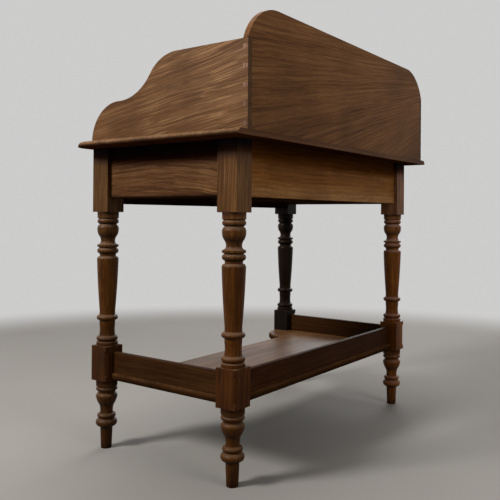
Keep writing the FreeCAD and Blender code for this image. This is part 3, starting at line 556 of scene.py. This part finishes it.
bpy.data.objects.remove(leg)


# Top board
# One wide board with rounded front corners, its front and sides moulded to a thumb on the upper edge.
# It is screwed on from below through the kickers.

TOP_X, TOP_FRONT, TOP_BACK, TOP_Z = 458.5 * MM, -250.5 * MM, 250.5 * MM, 724 * MM
TOP_CORNER, TOP_NOSE, TOP_ARRIS = 48 * MM, 10.5 * MM, 0.8 * MM
# An arc's middle lies this share of its radius in from each side of its square corner
QUARTER_SLACK = 1 - math.sqrt(0.5)
BOARD_ARC_STEP = ARC_STEP * 3
# The top's tone, and the lighter tone of its moulded nose, which is worn and partly a painted highlight
BOARD_TONE, NOSE_TONE = (0.124, 0.050, 0.0150), (0.168, 0.086, 0.038)
# The top's rear edge, and its underside painted near black as painted shade
REAR_EDGE_TONE, OVERHANG_SHADE_TONE = (0.067, 0.0255, 0.0082), (0.036, 0.011, 0.003)
# The nose painted lit on its upper rounding and in painted shade below it
NOSE_LIGHT_AND_SHADE = (
    (0.7130, (0.05, 0.03, 0.02)), (0.7165, (0.24, 0.20, 0.16)), (0.7190, (0.74, 0.70, 0.66)), (0.7220, (1, 1, 1)),
)


def board(name, origin, u_axis, v_axis, start, steps, thickness):
    """A board cut to an outline, then given its thickness along the outline's normal."""
    piece = start_at(name, origin + u_axis * start[0] + v_axis * start[1])
    draw(origin, u_axis, v_axis, start, steps, BOARD_ARC_STEP)
    bpy.ops.mesh.select_all(action="SELECT")
    bpy.ops.mesh.remove_doubles(threshold=WELD_GAP)
    bpy.ops.mesh.edge_face_add()
    bpy.ops.mesh.extrude_region_move(TRANSFORM_OT_translate={"value": u_axis.cross(v_axis) * thickness})
    bpy.ops.mesh.select_all(action="SELECT")
    bpy.ops.mesh.normals_make_consistent(inside=False)
    return piece


def unpolished_shade_wood(name, grain, tone, seed):
    """Unpolished wood, near black as painted shade, on faces that are turned down or inwards."""
    return wood(name, grain, tone, seed, rough=0.9, gloss=0.0)


slack = TOP_CORNER * QUARTER_SLACK
top = board("moulded_top", Vector((0, 0, TOP_UNDER)), X_AXIS, Y_AXIS, (TOP_X, TOP_BACK), [
    [(-TOP_X, TOP_BACK)], [(-TOP_X, TOP_FRONT + TOP_CORNER)],
    [(slack - TOP_X, TOP_FRONT + slack), (TOP_CORNER - TOP_X, TOP_FRONT)],
    [(TOP_X - TOP_CORNER, TOP_FRONT)],
    [(TOP_X - slack, TOP_FRONT + slack), (TOP_X, TOP_FRONT + TOP_CORNER)], [(TOP_X, TOP_BACK)],
], TOP_Z - TOP_UNDER)
choose(top, "edges", lambda edge: min(v.co.z for v in edge.verts) > TOP_Z - MM and middle(edge).y < TOP_BACK - MM)
bpy.ops.mesh.bevel(offset=TOP_NOSE, segments=8, affect="EDGES")
bpy.ops.object.mode_set(mode="OBJECT")
soften(top, TOP_ARRIS, worn=True)
dress(top, 1, lambda face: face.normal.z < 0.97)
dress(top, 3, lambda face: face.normal.y > 0.5)
# The underside is painted near black, as painted shade
dress(top, 2, lambda face: face.normal.z < -0.5)
top_woods = [wood("top_wood", "X", BOARD_TONE, seed=11.0),
             wood("top_nose", "X", NOSE_TONE, seed=11.0, heights=NOSE_LIGHT_AND_SHADE),
             unpolished_shade_wood("top_under", "X", OVERHANG_SHADE_TONE, seed=11.0),
             wood("top_rear_edge", "X", REAR_EDGE_TONE, seed=11.0)]
finish_piece(top, "frame", top_woods, "polished_wood", "top_board")


# Gallery back
# A tall board on the rear edge of the top, with large rounded shoulders.
# Wedge-shaped pins on its ends pass through the side boards, where their end grain shows.

GALLERY_X = (417 * MM, 429.5 * MM)
GALLERY_BACK_Y = (238 * MM, 250.5 * MM)
GALLERY_SIDE_TOP, GALLERY_BACK_TOP = 902 * MM, 977 * MM
SHOULDER, BACK_ARRIS = 110 * MM, 0.9 * MM
PIN_COUNT, PIN_WIDTH, PIN_TAPER = 5, 11 * MM, 1.75 * MM
WORN_TONE = (0.24, 0.125, 0.058)
PIN_END_TONE, END_TONE = (0.130, 0.066, 0.036), (0.062, 0.031, 0.013)
BACK_TONE = (0.141, 0.057, 0.0171)
BACK_WOOD = {"fan": (-1.00, 1.05), "sway": 0.012, "bands": 150.0}
BACK_HEIGHTS = (
    (0.724, (0.74, 0.73, 0.72)), (0.765, (0.86, 0.86, 0.86)), (0.900, (0.89, 0.89, 0.89)), (0.977, (1, 1, 1)),
)

lift = GALLERY_BACK_TOP - GALLERY_SIDE_TOP
shoulder_x = GALLERY_X[1] - math.sqrt(SHOULDER ** 2 - (SHOULDER - lift) ** 2)
arc = (shoulder_x + SHOULDER / 2, GALLERY_BACK_TOP - SHOULDER * (1 - math.sqrt(0.75)))
back = board("gallery_back_board", Vector((0, GALLERY_BACK_Y[1], 0)), X_AXIS, Z_AXIS, (-GALLERY_X[0], TOP_Z), [
    [(GALLERY_X[0], TOP_Z)], [(GALLERY_X[0], GALLERY_SIDE_TOP)], [(GALLERY_X[1], GALLERY_SIDE_TOP)],
    [arc, (shoulder_x, GALLERY_BACK_TOP)], [(-shoulder_x, GALLERY_BACK_TOP)],
    [(-arc[0], arc[1]), (-GALLERY_X[1], GALLERY_SIDE_TOP)], [(-GALLERY_X[0], GALLERY_SIDE_TOP)],
    [(-GALLERY_X[0], TOP_Z)],
], GALLERY_BACK_Y[1] - GALLERY_BACK_Y[0])
bpy.ops.object.mode_set(mode="OBJECT")


def pin(name, way, index, gap):
    """One dovetail pin: wide at its front face and narrower behind, grown by the gap, and by more at its end."""
    pitch = (GALLERY_SIDE_TOP - PIN_WIDTH - TOP_Z - PIN_WIDTH / 2 - PIN_WIDTH) / (PIN_COUNT - 1)
    low = TOP_Z + PIN_WIDTH / 2 + pitch * index
    xs = sorted((way * (GALLERY_X[0] - gap), way * (GALLERY_X[1] + gap * 4)))
    piece = block(name, (xs[0], GALLERY_BACK_Y[0] - gap, low - gap),
                  (xs[1], GALLERY_BACK_Y[1] + gap, low + PIN_WIDTH + gap))
    bpy.ops.object.mode_set(mode="EDIT")
    choose(piece, "faces", lambda face: face.normal.y > 0.9)
    bpy.ops.transform.resize(value=(1, 1, 1 - PIN_TAPER * 2 / PIN_WIDTH), center_override=(0, 0, low + PIN_WIDTH / 2))
    bpy.ops.object.mode_set(mode="OBJECT")
    return piece


for way in (1, -1):
    for index in range(PIN_COUNT):
        combine(back, pin("pin", way, index, 0), "UNION")
bpy.context.view_layer.objects.active = back
bpy.ops.object.mode_set(mode="EDIT")
for way in (1, -1):
    bpy.ops.mesh.select_all(action="SELECT")
    bpy.ops.mesh.bisect(plane_co=(way * GALLERY_X[0], 0, 0), plane_no=(1, 0, 0))
bpy.ops.object.mode_set(mode="OBJECT")
soften(back, BACK_ARRIS, worn=True)
dress(back, 3, lambda face: face.center.z < TOP_Z + MM or (
    face.center.z < GALLERY_SIDE_TOP and face.normal.y > 0.9 and abs(face.center.x) > GALLERY_X[0]))
dress(back, 2, lambda face: face.center.z < GALLERY_SIDE_TOP and abs(face.center.x) > GALLERY_X[1] - 0.2 * MM)
back_woods = [wood("gallery_back_wood", "X", BACK_TONE, seed=5.3, contrast=1.4, heights=BACK_HEIGHTS, **BACK_WOOD),
              wood("gallery_back_worn", "X", WORN_TONE, seed=5.3, **BACK_WOOD),
              wood("gallery_pin_ends", "Z", PIN_END_TONE, seed=7.7, bands=120.0, clouds=0.55),
              wood("gallery_back_dark", "Z", END_TONE, seed=9.1, bands=160.0)]
finish_piece(back, "frame", back_woods, "polished_wood", "gallery_back")


# Gallery sides
# Two boards, each with a quarter-round toe in front and a long S curve up to the height of the back's ends.
# They stand on the top, glued and screwed from below, with sockets for the back's pins.

GALLERY_FRONT = -205.5 * MM
TOE_HEIGHT, TOE_LENGTH, SCROLL_LENGTH, INFLECTION_SHARE = 88 * MM, 93 * MM, 172 * MM, 0.55
SOCKET_GAP, SIDE_ARRIS = 0.12 * MM, 0.7 * MM
SIDES = (("right", 1), ("left", -1))
SIDE_TONE = (0.099, 0.0430, 0.0148)
SIDE_WOOD = {"tilt": (-9, 0, 0), "sway": 0.034, "bands": 110.0, "glints": 1.0, "clouds": 0.20}

toe_slack = TOE_HEIGHT * QUARTER_SLACK
toe_top = TOP_Z + TOE_HEIGHT
scroll_front = GALLERY_FRONT + TOE_LENGTH
scroll_back = scroll_front + SCROLL_LENGTH
climb = GALLERY_SIDE_TOP - toe_top
chord = math.hypot(SCROLL_LENGTH, climb)
reach = chord * chord / (climb * 2)
hollow, crown = reach * INFLECTION_SHARE, reach * (1 - INFLECTION_SHARE)
sine, bulge = climb / chord, (chord - SCROLL_LENGTH) / chord
side_steps = [
    [(GALLERY_FRONT + toe_slack, toe_top - toe_slack), (GALLERY_FRONT + TOE_HEIGHT, toe_top)],
    [(scroll_front, toe_top)],
    [(scroll_front + hollow * sine, toe_top + hollow * bulge),
     (scroll_front + SCROLL_LENGTH * INFLECTION_SHARE, toe_top + climb * INFLECTION_SHARE)],
    [(scroll_back - crown * sine, GALLERY_SIDE_TOP - crown * bulge), (scroll_back, GALLERY_SIDE_TOP)],
    [(TOP_BACK, GALLERY_SIDE_TOP)], [(TOP_BACK, TOP_Z)], [(GALLERY_FRONT, TOP_Z)],
]
for side, way in SIDES:
    start_x = GALLERY_X[0] if way > 0 else -GALLERY_X[1]
    piece = board("gallery_side_board_" + side, Vector((start_x, 0, 0)), Y_AXIS, Z_AXIS,
                  (GALLERY_FRONT, TOP_Z), side_steps, GALLERY_X[1] - GALLERY_X[0])
    bpy.ops.object.mode_set(mode="OBJECT")
    for index in range(PIN_COUNT):
        combine(piece, pin("socket", way, index, SOCKET_GAP), "DIFFERENCE")
    soften(piece, SIDE_ARRIS, worn=True)
    dress(piece, 2, lambda face: face.normal.y > 0.9 and face.center.y > TOP_BACK - 0.1 * MM)
    side_woods = [wood("gallery_side_wood_" + side, "Y", SIDE_TONE, seed=2.2 + way, contrast=1.15, **SIDE_WOOD),
                  wood("gallery_side_worn_" + side, "Y", WORN_TONE, seed=2.2 + way, **SIDE_WOOD),
                  wood("gallery_side_end_" + side, "Z", END_TONE, seed=4.2 + way, bands=160.0)]
    finish_piece(piece, "frame", side_woods, "polished_wood", "gallery_side_" + side)


# Side and back rails
# Wide boards under the top, tenoned into the legs and set back from their outer faces.
# Their lower edges are rounded.

RAIL_Z = (593 * MM, 712 * MM)
SIDE_RAIL_X, BACK_RAIL_Y = (377.5 * MM, 397.5 * MM), (177.5 * MM, 197.5 * MM)
INNER_SIDE, INNER_FRONT, INNER_BACK = 356.5 * MM, -175.5 * MM, 156.5 * MM
RAIL_ROUND, RAIL_ARRIS = 4 * MM, 0.4 * MM
SIDE_RAIL_TONE, BACK_RAIL_TONE = (0.076, 0.0305, 0.0095), (0.212, 0.098, 0.0320)
# Undersides and inner faces of the rails, painted near black as painted shade
UNDER_SHADE_TONE = (0.012, 0.0045, 0.0016)
SIDE_RAIL_WOOD = {"bow": (0.22, -0.06), "gloss": 0.05, "sway": 0.040, "contrast": 1.8, "glints": 0.7}
# Painted shade on the side rails by height: on their rounded lower edge, and deep under the top's overhang
SIDE_RAIL_SHADE_BY_HEIGHT = (
    (0.593, (0.03, 0.02, 0.02)), (0.5985, (0.50, 0.46, 0.50)), (0.604, (1, 1, 1)), (0.645, (0.88, 0.90, 0.94)),
    (0.662, (0.78, 0.78, 0.80)), (0.672, (0.42, 0.31, 0.23)), (0.681, (0.15, 0.06, 0.03)),
    (0.690, (0.05, 0.02, 0.01)), (0.712, (0.02, 0.01, 0.005)),
)
# Painted shade on the back rail by height, under the top's overhang
BACK_RAIL_SHADE_BY_HEIGHT = (
    (0.0, (1, 1, 1)), (0.608, (1, 1, 1)), (0.622, (0.88, 0.80, 0.62)), (0.635, (0.78, 0.65, 0.43)),
    (0.650, (0.75, 0.61, 0.41)), (0.662, (0.65, 0.53, 0.36)), (0.671, (0.42, 0.32, 0.17)),
    (0.680, (0.27, 0.18, 0.05)), (0.690, (0.25, 0.16, 0.035)), (0.712, (0.25, 0.16, 0.04)),
)


def rail(name, low, high, along):
    """A rail with its two long lower edges rounded, dressed with its second material below."""
    piece = block(name, (*low, RAIL_Z[0]), (*high, RAIL_Z[1]))
    bpy.ops.object.mode_set(mode="EDIT")
    choose(piece, "edges", lambda edge: abs(middle(edge).z - RAIL_Z[0]) < MM
           and abs((edge.verts[1].co - edge.verts[0].co).normalized().dot(along)) > 0.9)
    bpy.ops.mesh.bevel(offset=RAIL_ROUND, segments=6, affect="EDGES")
    bpy.ops.object.mode_set(mode="OBJECT")
    soften(piece, RAIL_ARRIS)
    dress(piece, 1, lambda face: face.normal.z < -0.88)
    return piece


for side, way in SIDES:
    xs = sorted(way * x for x in SIDE_RAIL_X)
    piece = rail("side_rail_board_" + side, (xs[0], INNER_FRONT), (xs[1], INNER_BACK), Y_AXIS)
    rail_woods = [wood("side_rail_wood_" + side, "Y", SIDE_RAIL_TONE, seed=8.6 + way, heights=SIDE_RAIL_SHADE_BY_HEIGHT,
                       **SIDE_RAIL_WOOD),
                  unpolished_shade_wood("side_rail_under_" + side, "Y", UNDER_SHADE_TONE, seed=8.6 + way)]
    finish_piece(piece, "frame", rail_woods, "polished_wood", "rail_side_" + side)
piece = rail("back_rail_board", (-INNER_SIDE, BACK_RAIL_Y[0]), (INNER_SIDE, BACK_RAIL_Y[1]), X_AXIS)
rail_woods = [wood("back_rail_wood", "X", BACK_RAIL_TONE, seed=14.9, gloss=0.03, contrast=1.0,
                   heights=BACK_RAIL_SHADE_BY_HEIGHT),
              unpolished_shade_wood("back_rail_under", "X", UNDER_SHADE_TONE, seed=14.9)]
finish_piece(piece, "frame", rail_woods, "polished_wood", "rail_back")


# Front rails and post
# A rail under the drawers, a thin one above them and a short post between, flush with each other.
# The lower rail is tenoned and the upper one dovetailed into the legs.

FRONT_Y = (-223.5 * MM, -175.5 * MM)
DRAWER_RAIL_Z, TOP_RAIL_Z, POST_X = (581 * MM, 601 * MM), (697 * MM, 712 * MM), 12 * MM
FRONT_ARRIS = 0.5 * MM
FRONT_RAIL_TONE = (0.100, 0.038, 0.010)
# Each one's lowest and highest X and Z, the way of its grain and its CAD node
FRONT_PARTS = {
    "drawer_rail_board": ((-INNER_SIDE, DRAWER_RAIL_Z[0]), (INNER_SIDE, DRAWER_RAIL_Z[1]), "X", "drawer_rail"),
    "top_rail_board": ((-INNER_SIDE, TOP_RAIL_Z[0]), (INNER_SIDE, TOP_RAIL_Z[1]), "X", "top_rail"),
    "drawer_post": ((-POST_X, DRAWER_RAIL_Z[1]), (POST_X, TOP_RAIL_Z[0]), "Z", "drawer_divider"),
}
for index, (name, (low, high, grain, cad_node)) in enumerate(FRONT_PARTS.items()):
    piece = block(name, (low[0], FRONT_Y[0], low[1]), (high[0], FRONT_Y[1], high[1]))
    soften(piece, FRONT_ARRIS)
    dress(piece, 1, lambda face: face.normal.y > 0.5 or face.normal.z < -0.5)
    front_woods = [wood(name + "_wood", grain, FRONT_RAIL_TONE, seed=21.5 + index),
                   unpolished_shade_wood(name + "_inside", grain, UNDER_SHADE_TONE, seed=21.5 + index)]
    finish_piece(piece, "frame", front_woods, "polished_wood", cad_node)


# Drawer fronts and knobs
# Each front is a plain board with a softened face, cut behind for the sides' lapped dovetails.
# Two turned knobs are glued into it by their spigots.

DRAWER_X, DRAWER_Z = (12.8 * MM, 355.7 * MM), (601.3 * MM, 695.5 * MM)
DRAWER_FRONT_Y, DRAWER_ROUND = (-223.5 * MM, -203.5 * MM), 1.6 * MM
KNOB_OFFSET, KNOB_RADIUS, KNOB_PROJECTION = 90 * MM, 19 * MM, 26 * MM
KNOB_SIDES, KNOB_ARRIS = 48, 0.3 * MM
KNOB_SHARES = [
    (0.0, -0.2), (0.31, -0.2), (0.31, 0.0), (0.60, 0.0), (0.60, 0.07), (0.40, 0.24, 0.56, 0.40),
    (1.0, 0.64, 0.66, 0.93), (0.36, 0.985, 0.14, 1.0), (0.0, 1.0),
]
FRONT_TONE = (0.125, 0.048, 0.013)


def merged_copy(name):
    """A copy of a CAD node with its loose triangles joined into one closed mesh."""
    copy = copy_of(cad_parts[name])
    bpy.ops.object.mode_set(mode="EDIT")
    bpy.ops.mesh.select_all(action="SELECT")
    bpy.ops.mesh.remove_doubles(threshold=WELD_GAP / 2)
    bpy.ops.object.mode_set(mode="OBJECT")
    return copy


for side, way in SIDES:
    xs = sorted(way * x for x in DRAWER_X)
    name = "drawer_" + side
    piece = block("drawer_face_" + side, (xs[0], DRAWER_FRONT_Y[0], DRAWER_Z[0]),
                  (xs[1], DRAWER_FRONT_Y[1], DRAWER_Z[1]))
    for lining_part in ("_side_left", "_side_right", "_bottom"):
        combine(piece, merged_copy(name + lining_part), "DIFFERENCE")
    bpy.ops.object.mode_set(mode="EDIT")
    choose(piece, "edges", lambda edge: max(v.co.y for v in edge.verts) < DRAWER_FRONT_Y[0] + MM / 10
           and edge.calc_face_angle(0) > 0.5)
    bpy.ops.mesh.bevel(offset=DRAWER_ROUND, segments=4, affect="EDGES")
    bpy.ops.object.mode_set(mode="OBJECT")
    shade(piece)
    front_wood = wood(name + "_front_wood", "X", FRONT_TONE, seed=31.0 + way * 0.6, bow=(0.5, way * 0.18))
    finish_piece(piece, name, [front_wood], "polished_wood", name + "_front")
    for end, offset in (("left", -KNOB_OFFSET), ("right", KNOB_OFFSET)):
        seat = Vector((sum(xs) / 2 + offset, DRAWER_FRONT_Y[0], sum(DRAWER_Z) / 2))
        knob = turned("turned_knob_%s_%s" % (side, end), seat, -Y_AXIS, X_AXIS, KNOB_SHARES, KNOB_RADIUS,
                      KNOB_PROJECTION, KNOB_SIDES)
        soften(knob, KNOB_ARRIS)
        knob_wood = wood("knob_wood_%s_%s" % (side, end), "Y", LEG_TONE, seed=40 + offset * 60 + way,
                         bands=90.0, rough=0.36)
        finish_piece(knob, name, [knob_wood], "polished_wood", "%s_knob_%s" % (name, end))


# Shelf
# A board near the floor, let into the legs, with a nosed edge and its front drawn back between two lobes.
# It carries the low gallery.

SHELF_Z = (165 * MM, 181 * MM)
SHELF_SIDE, SHELF_BACK, SHELF_FRONT = 392.5 * MM, 192.5 * MM, -221.5 * MM
SHELF_NOSE, SHELF_RECESS, LOBE, SHELF_ARRIS = 6 * MM, 87 * MM, 115 * MM, 0.4 * MM
# The shelf's tone, and its edge's darker tone, which is painted shade
SHELF_TONE, SHELF_EDGE_TONE = (0.112, 0.0495, 0.0175), (0.062, 0.026, 0.009)
# The shelf's edge by height: painted shade below and a painted lit band along its upper rounding
SHELF_EDGE_LIGHT_AND_SHADE = (
    (0.165, (0.22, 0.18, 0.12)), (0.1740, (0.34, 0.29, 0.20)), (0.1785, (0.60, 0.55, 0.45)), (0.181, (1, 1, 1)),
)

recess_y = SHELF_FRONT + SHELF_RECESS
recess_x = INNER_SIDE - math.sqrt(LOBE ** 2 - (LOBE - SHELF_RECESS) ** 2)
lobe = (INNER_SIDE - LOBE * math.sqrt(0.5), SHELF_FRONT + LOBE * QUARTER_SLACK)
shelf = board("shaped_shelf", Vector((0, 0, SHELF_Z[0])), X_AXIS, Y_AXIS, (INNER_SIDE, SHELF_BACK), [
    [(-INNER_SIDE, SHELF_BACK)], [(-INNER_SIDE, INNER_BACK)], [(-SHELF_SIDE, INNER_BACK)],
    [(-SHELF_SIDE, INNER_FRONT)], [(-INNER_SIDE, INNER_FRONT)], [(-INNER_SIDE, SHELF_FRONT)],
    [(-lobe[0], lobe[1]), (-recess_x, recess_y)], [(recess_x, recess_y)],
    [lobe, (INNER_SIDE, SHELF_FRONT)],
    [(INNER_SIDE, INNER_FRONT)], [(SHELF_SIDE, INNER_FRONT)], [(SHELF_SIDE, INNER_BACK)],
    [(INNER_SIDE, INNER_BACK)], [(INNER_SIDE, SHELF_BACK)],
], SHELF_Z[1] - SHELF_Z[0])


def shelf_edge_shows(edge):
    """True for the long edges above and below, but not for those against the legs."""
    spot = middle(edge)
    flat = abs(edge.verts[0].co.z - edge.verts[1].co.z) < MM / 10
    beside = abs(spot.x) > INNER_SIDE - SHELF_NOSE / 2
    behind = spot.y < INNER_FRONT + SHELF_NOSE / 2 or spot.y > INNER_BACK - SHELF_NOSE / 2
    return flat and not (beside and behind)


choose(shelf, "edges", shelf_edge_shows)
bpy.ops.mesh.bevel(offset=SHELF_NOSE, segments=6, affect="EDGES")
bpy.ops.object.mode_set(mode="OBJECT")
soften(shelf, SHELF_ARRIS)
dress(shelf, 1, lambda face: face.normal.z < 0.95)
shelf_woods = [wood("shelf_wood", "X", SHELF_TONE, seed=17.0, rough=0.38, gloss=0.20),
               wood("shelf_edge_wood", "X", SHELF_EDGE_TONE, seed=17.0, rough=0.7, gloss=0.02,
                    heights=SHELF_EDGE_LIGHT_AND_SHADE)]
finish_piece(shelf, "frame", shelf_woods, "polished_wood", "shelf_board")


# Low gallery
# Three plain boards on the shelf, housed in the legs' blocks and screwed from below.
# Their upper edges are eased by hand.

LOW_Z = (181 * MM, 231 * MM)
LOW_SIDE_X, LOW_BACK_Y = (375.5 * MM, 387.5 * MM), (175.5 * MM, 187.5 * MM)
LOW_ARRIS = 1.1 * MM
# The low boards' tones are dark, partly their own wood and partly painted shade, low down near the floor
LOW_TONE_AND_SHADE, LOW_BACK_TONE_AND_SHADE = (0.031, 0.0112, 0.0028), (0.024, 0.0070, 0.0010)
LOW_WORN_TONE = (0.036, 0.0135, 0.0035)
# Each board's lowest and highest X and Y, the way of its grain and its tone
LOW_PARTS = {
    "right": ((LOW_SIDE_X[0], INNER_FRONT), (LOW_SIDE_X[1], INNER_BACK), "Y", LOW_TONE_AND_SHADE),
    "left": ((-LOW_SIDE_X[1], INNER_FRONT), (-LOW_SIDE_X[0], INNER_BACK), "Y", LOW_TONE_AND_SHADE),
    "back": ((-INNER_SIDE, LOW_BACK_Y[0]), (INNER_SIDE, LOW_BACK_Y[1]), "X", LOW_BACK_TONE_AND_SHADE),
}
for index, (side, (low, high, grain, tone)) in enumerate(LOW_PARTS.items()):
    piece = block("low_board_" + side, (*low, LOW_Z[0]), (*high, LOW_Z[1]))
    soften(piece, LOW_ARRIS, segments=3, worn=True)
    low_woods = [wood("low_wood_" + side, grain, tone, seed=51.3 + index, gloss=0.03),
                 wood("low_worn_" + side, grain, LOW_WORN_TONE, seed=51.3 + index, gloss=0.0)]
    finish_piece(piece, "frame", low_woods, "polished_wood", "low_gallery_" + side)


# Inner framing and drawer linings
# Runners, guides, kickers, stops, glue blocks and the drawers' sides, backs and bottoms, kept as they are.
# They are bare softwood: the drawer linings pale, the framing near black as painted shade inside the stand.

LINING_TONE, FRAMING_SHADE_TONE = (0.20, 0.115, 0.055), (0.030, 0.013, 0.005)


def softwoods(name, tone, seed, gloss):
    """Softwood with its grain along X, and the same along Y."""
    return {grain: wood(name + grain, grain, tone, seed=seed + index, contrast=0.8, rough=0.8, gloss=gloss,
                        glints=0.1)
            for index, grain in enumerate("XY")}


lining = softwoods("lining_wood_", LINING_TONE, seed=60.0, gloss=0.07)
framing = softwoods("framing_wood_", FRAMING_SHADE_TONE, seed=64.0, gloss=0.0)
for name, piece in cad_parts.items():
    if piece.hide_render or name.endswith("screws"):
        continue
    softwood = lining if name.startswith("drawer_") and name != "drawer_stops" else framing
    across = name.endswith(("_back", "_bottom")) or name in ("drawer_stops", "glue_blocks")
    for place in piece.material_slots:
        place.material = softwood["X" if across else "Y"]


# Screws
# Countersunk steel screws, driven upwards into the top, the gallery and the low gallery.
# They are dull and spotted with age.

STEEL_DARK, STEEL_LIGHT = (0.13, 0.11, 0.10), (0.42, 0.40, 0.38)
STEEL_SPOTS = {"Scale": 900.0, "Detail": 3.0}
DARK_STEEL_ROUGH, LIGHT_STEEL_ROUGH = 0.62, 0.38

add, join, shader, steel = nodes_of("dull_steel")
place = add("ShaderNodeTexCoord", {}).outputs["Object"]
spots = add("ShaderNodeTexNoise", {"Vector": place, **STEEL_SPOTS}).outputs["Fac"]
join(two_tones(add, spots, STEEL_DARK, STEEL_LIGHT), "Base Color")
rough = add("ShaderNodeMapRange", {"Value": spots, "To Min": DARK_STEEL_ROUGH, "To Max": LIGHT_STEEL_ROUGH})
join(rough.outputs["Result"], "Roughness")
shader.inputs["Metallic"].default_value = 1.0
for name in ("top_screws", "gallery_screws", "shelf_screws"):
    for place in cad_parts[name].material_slots:
        place.material = steel
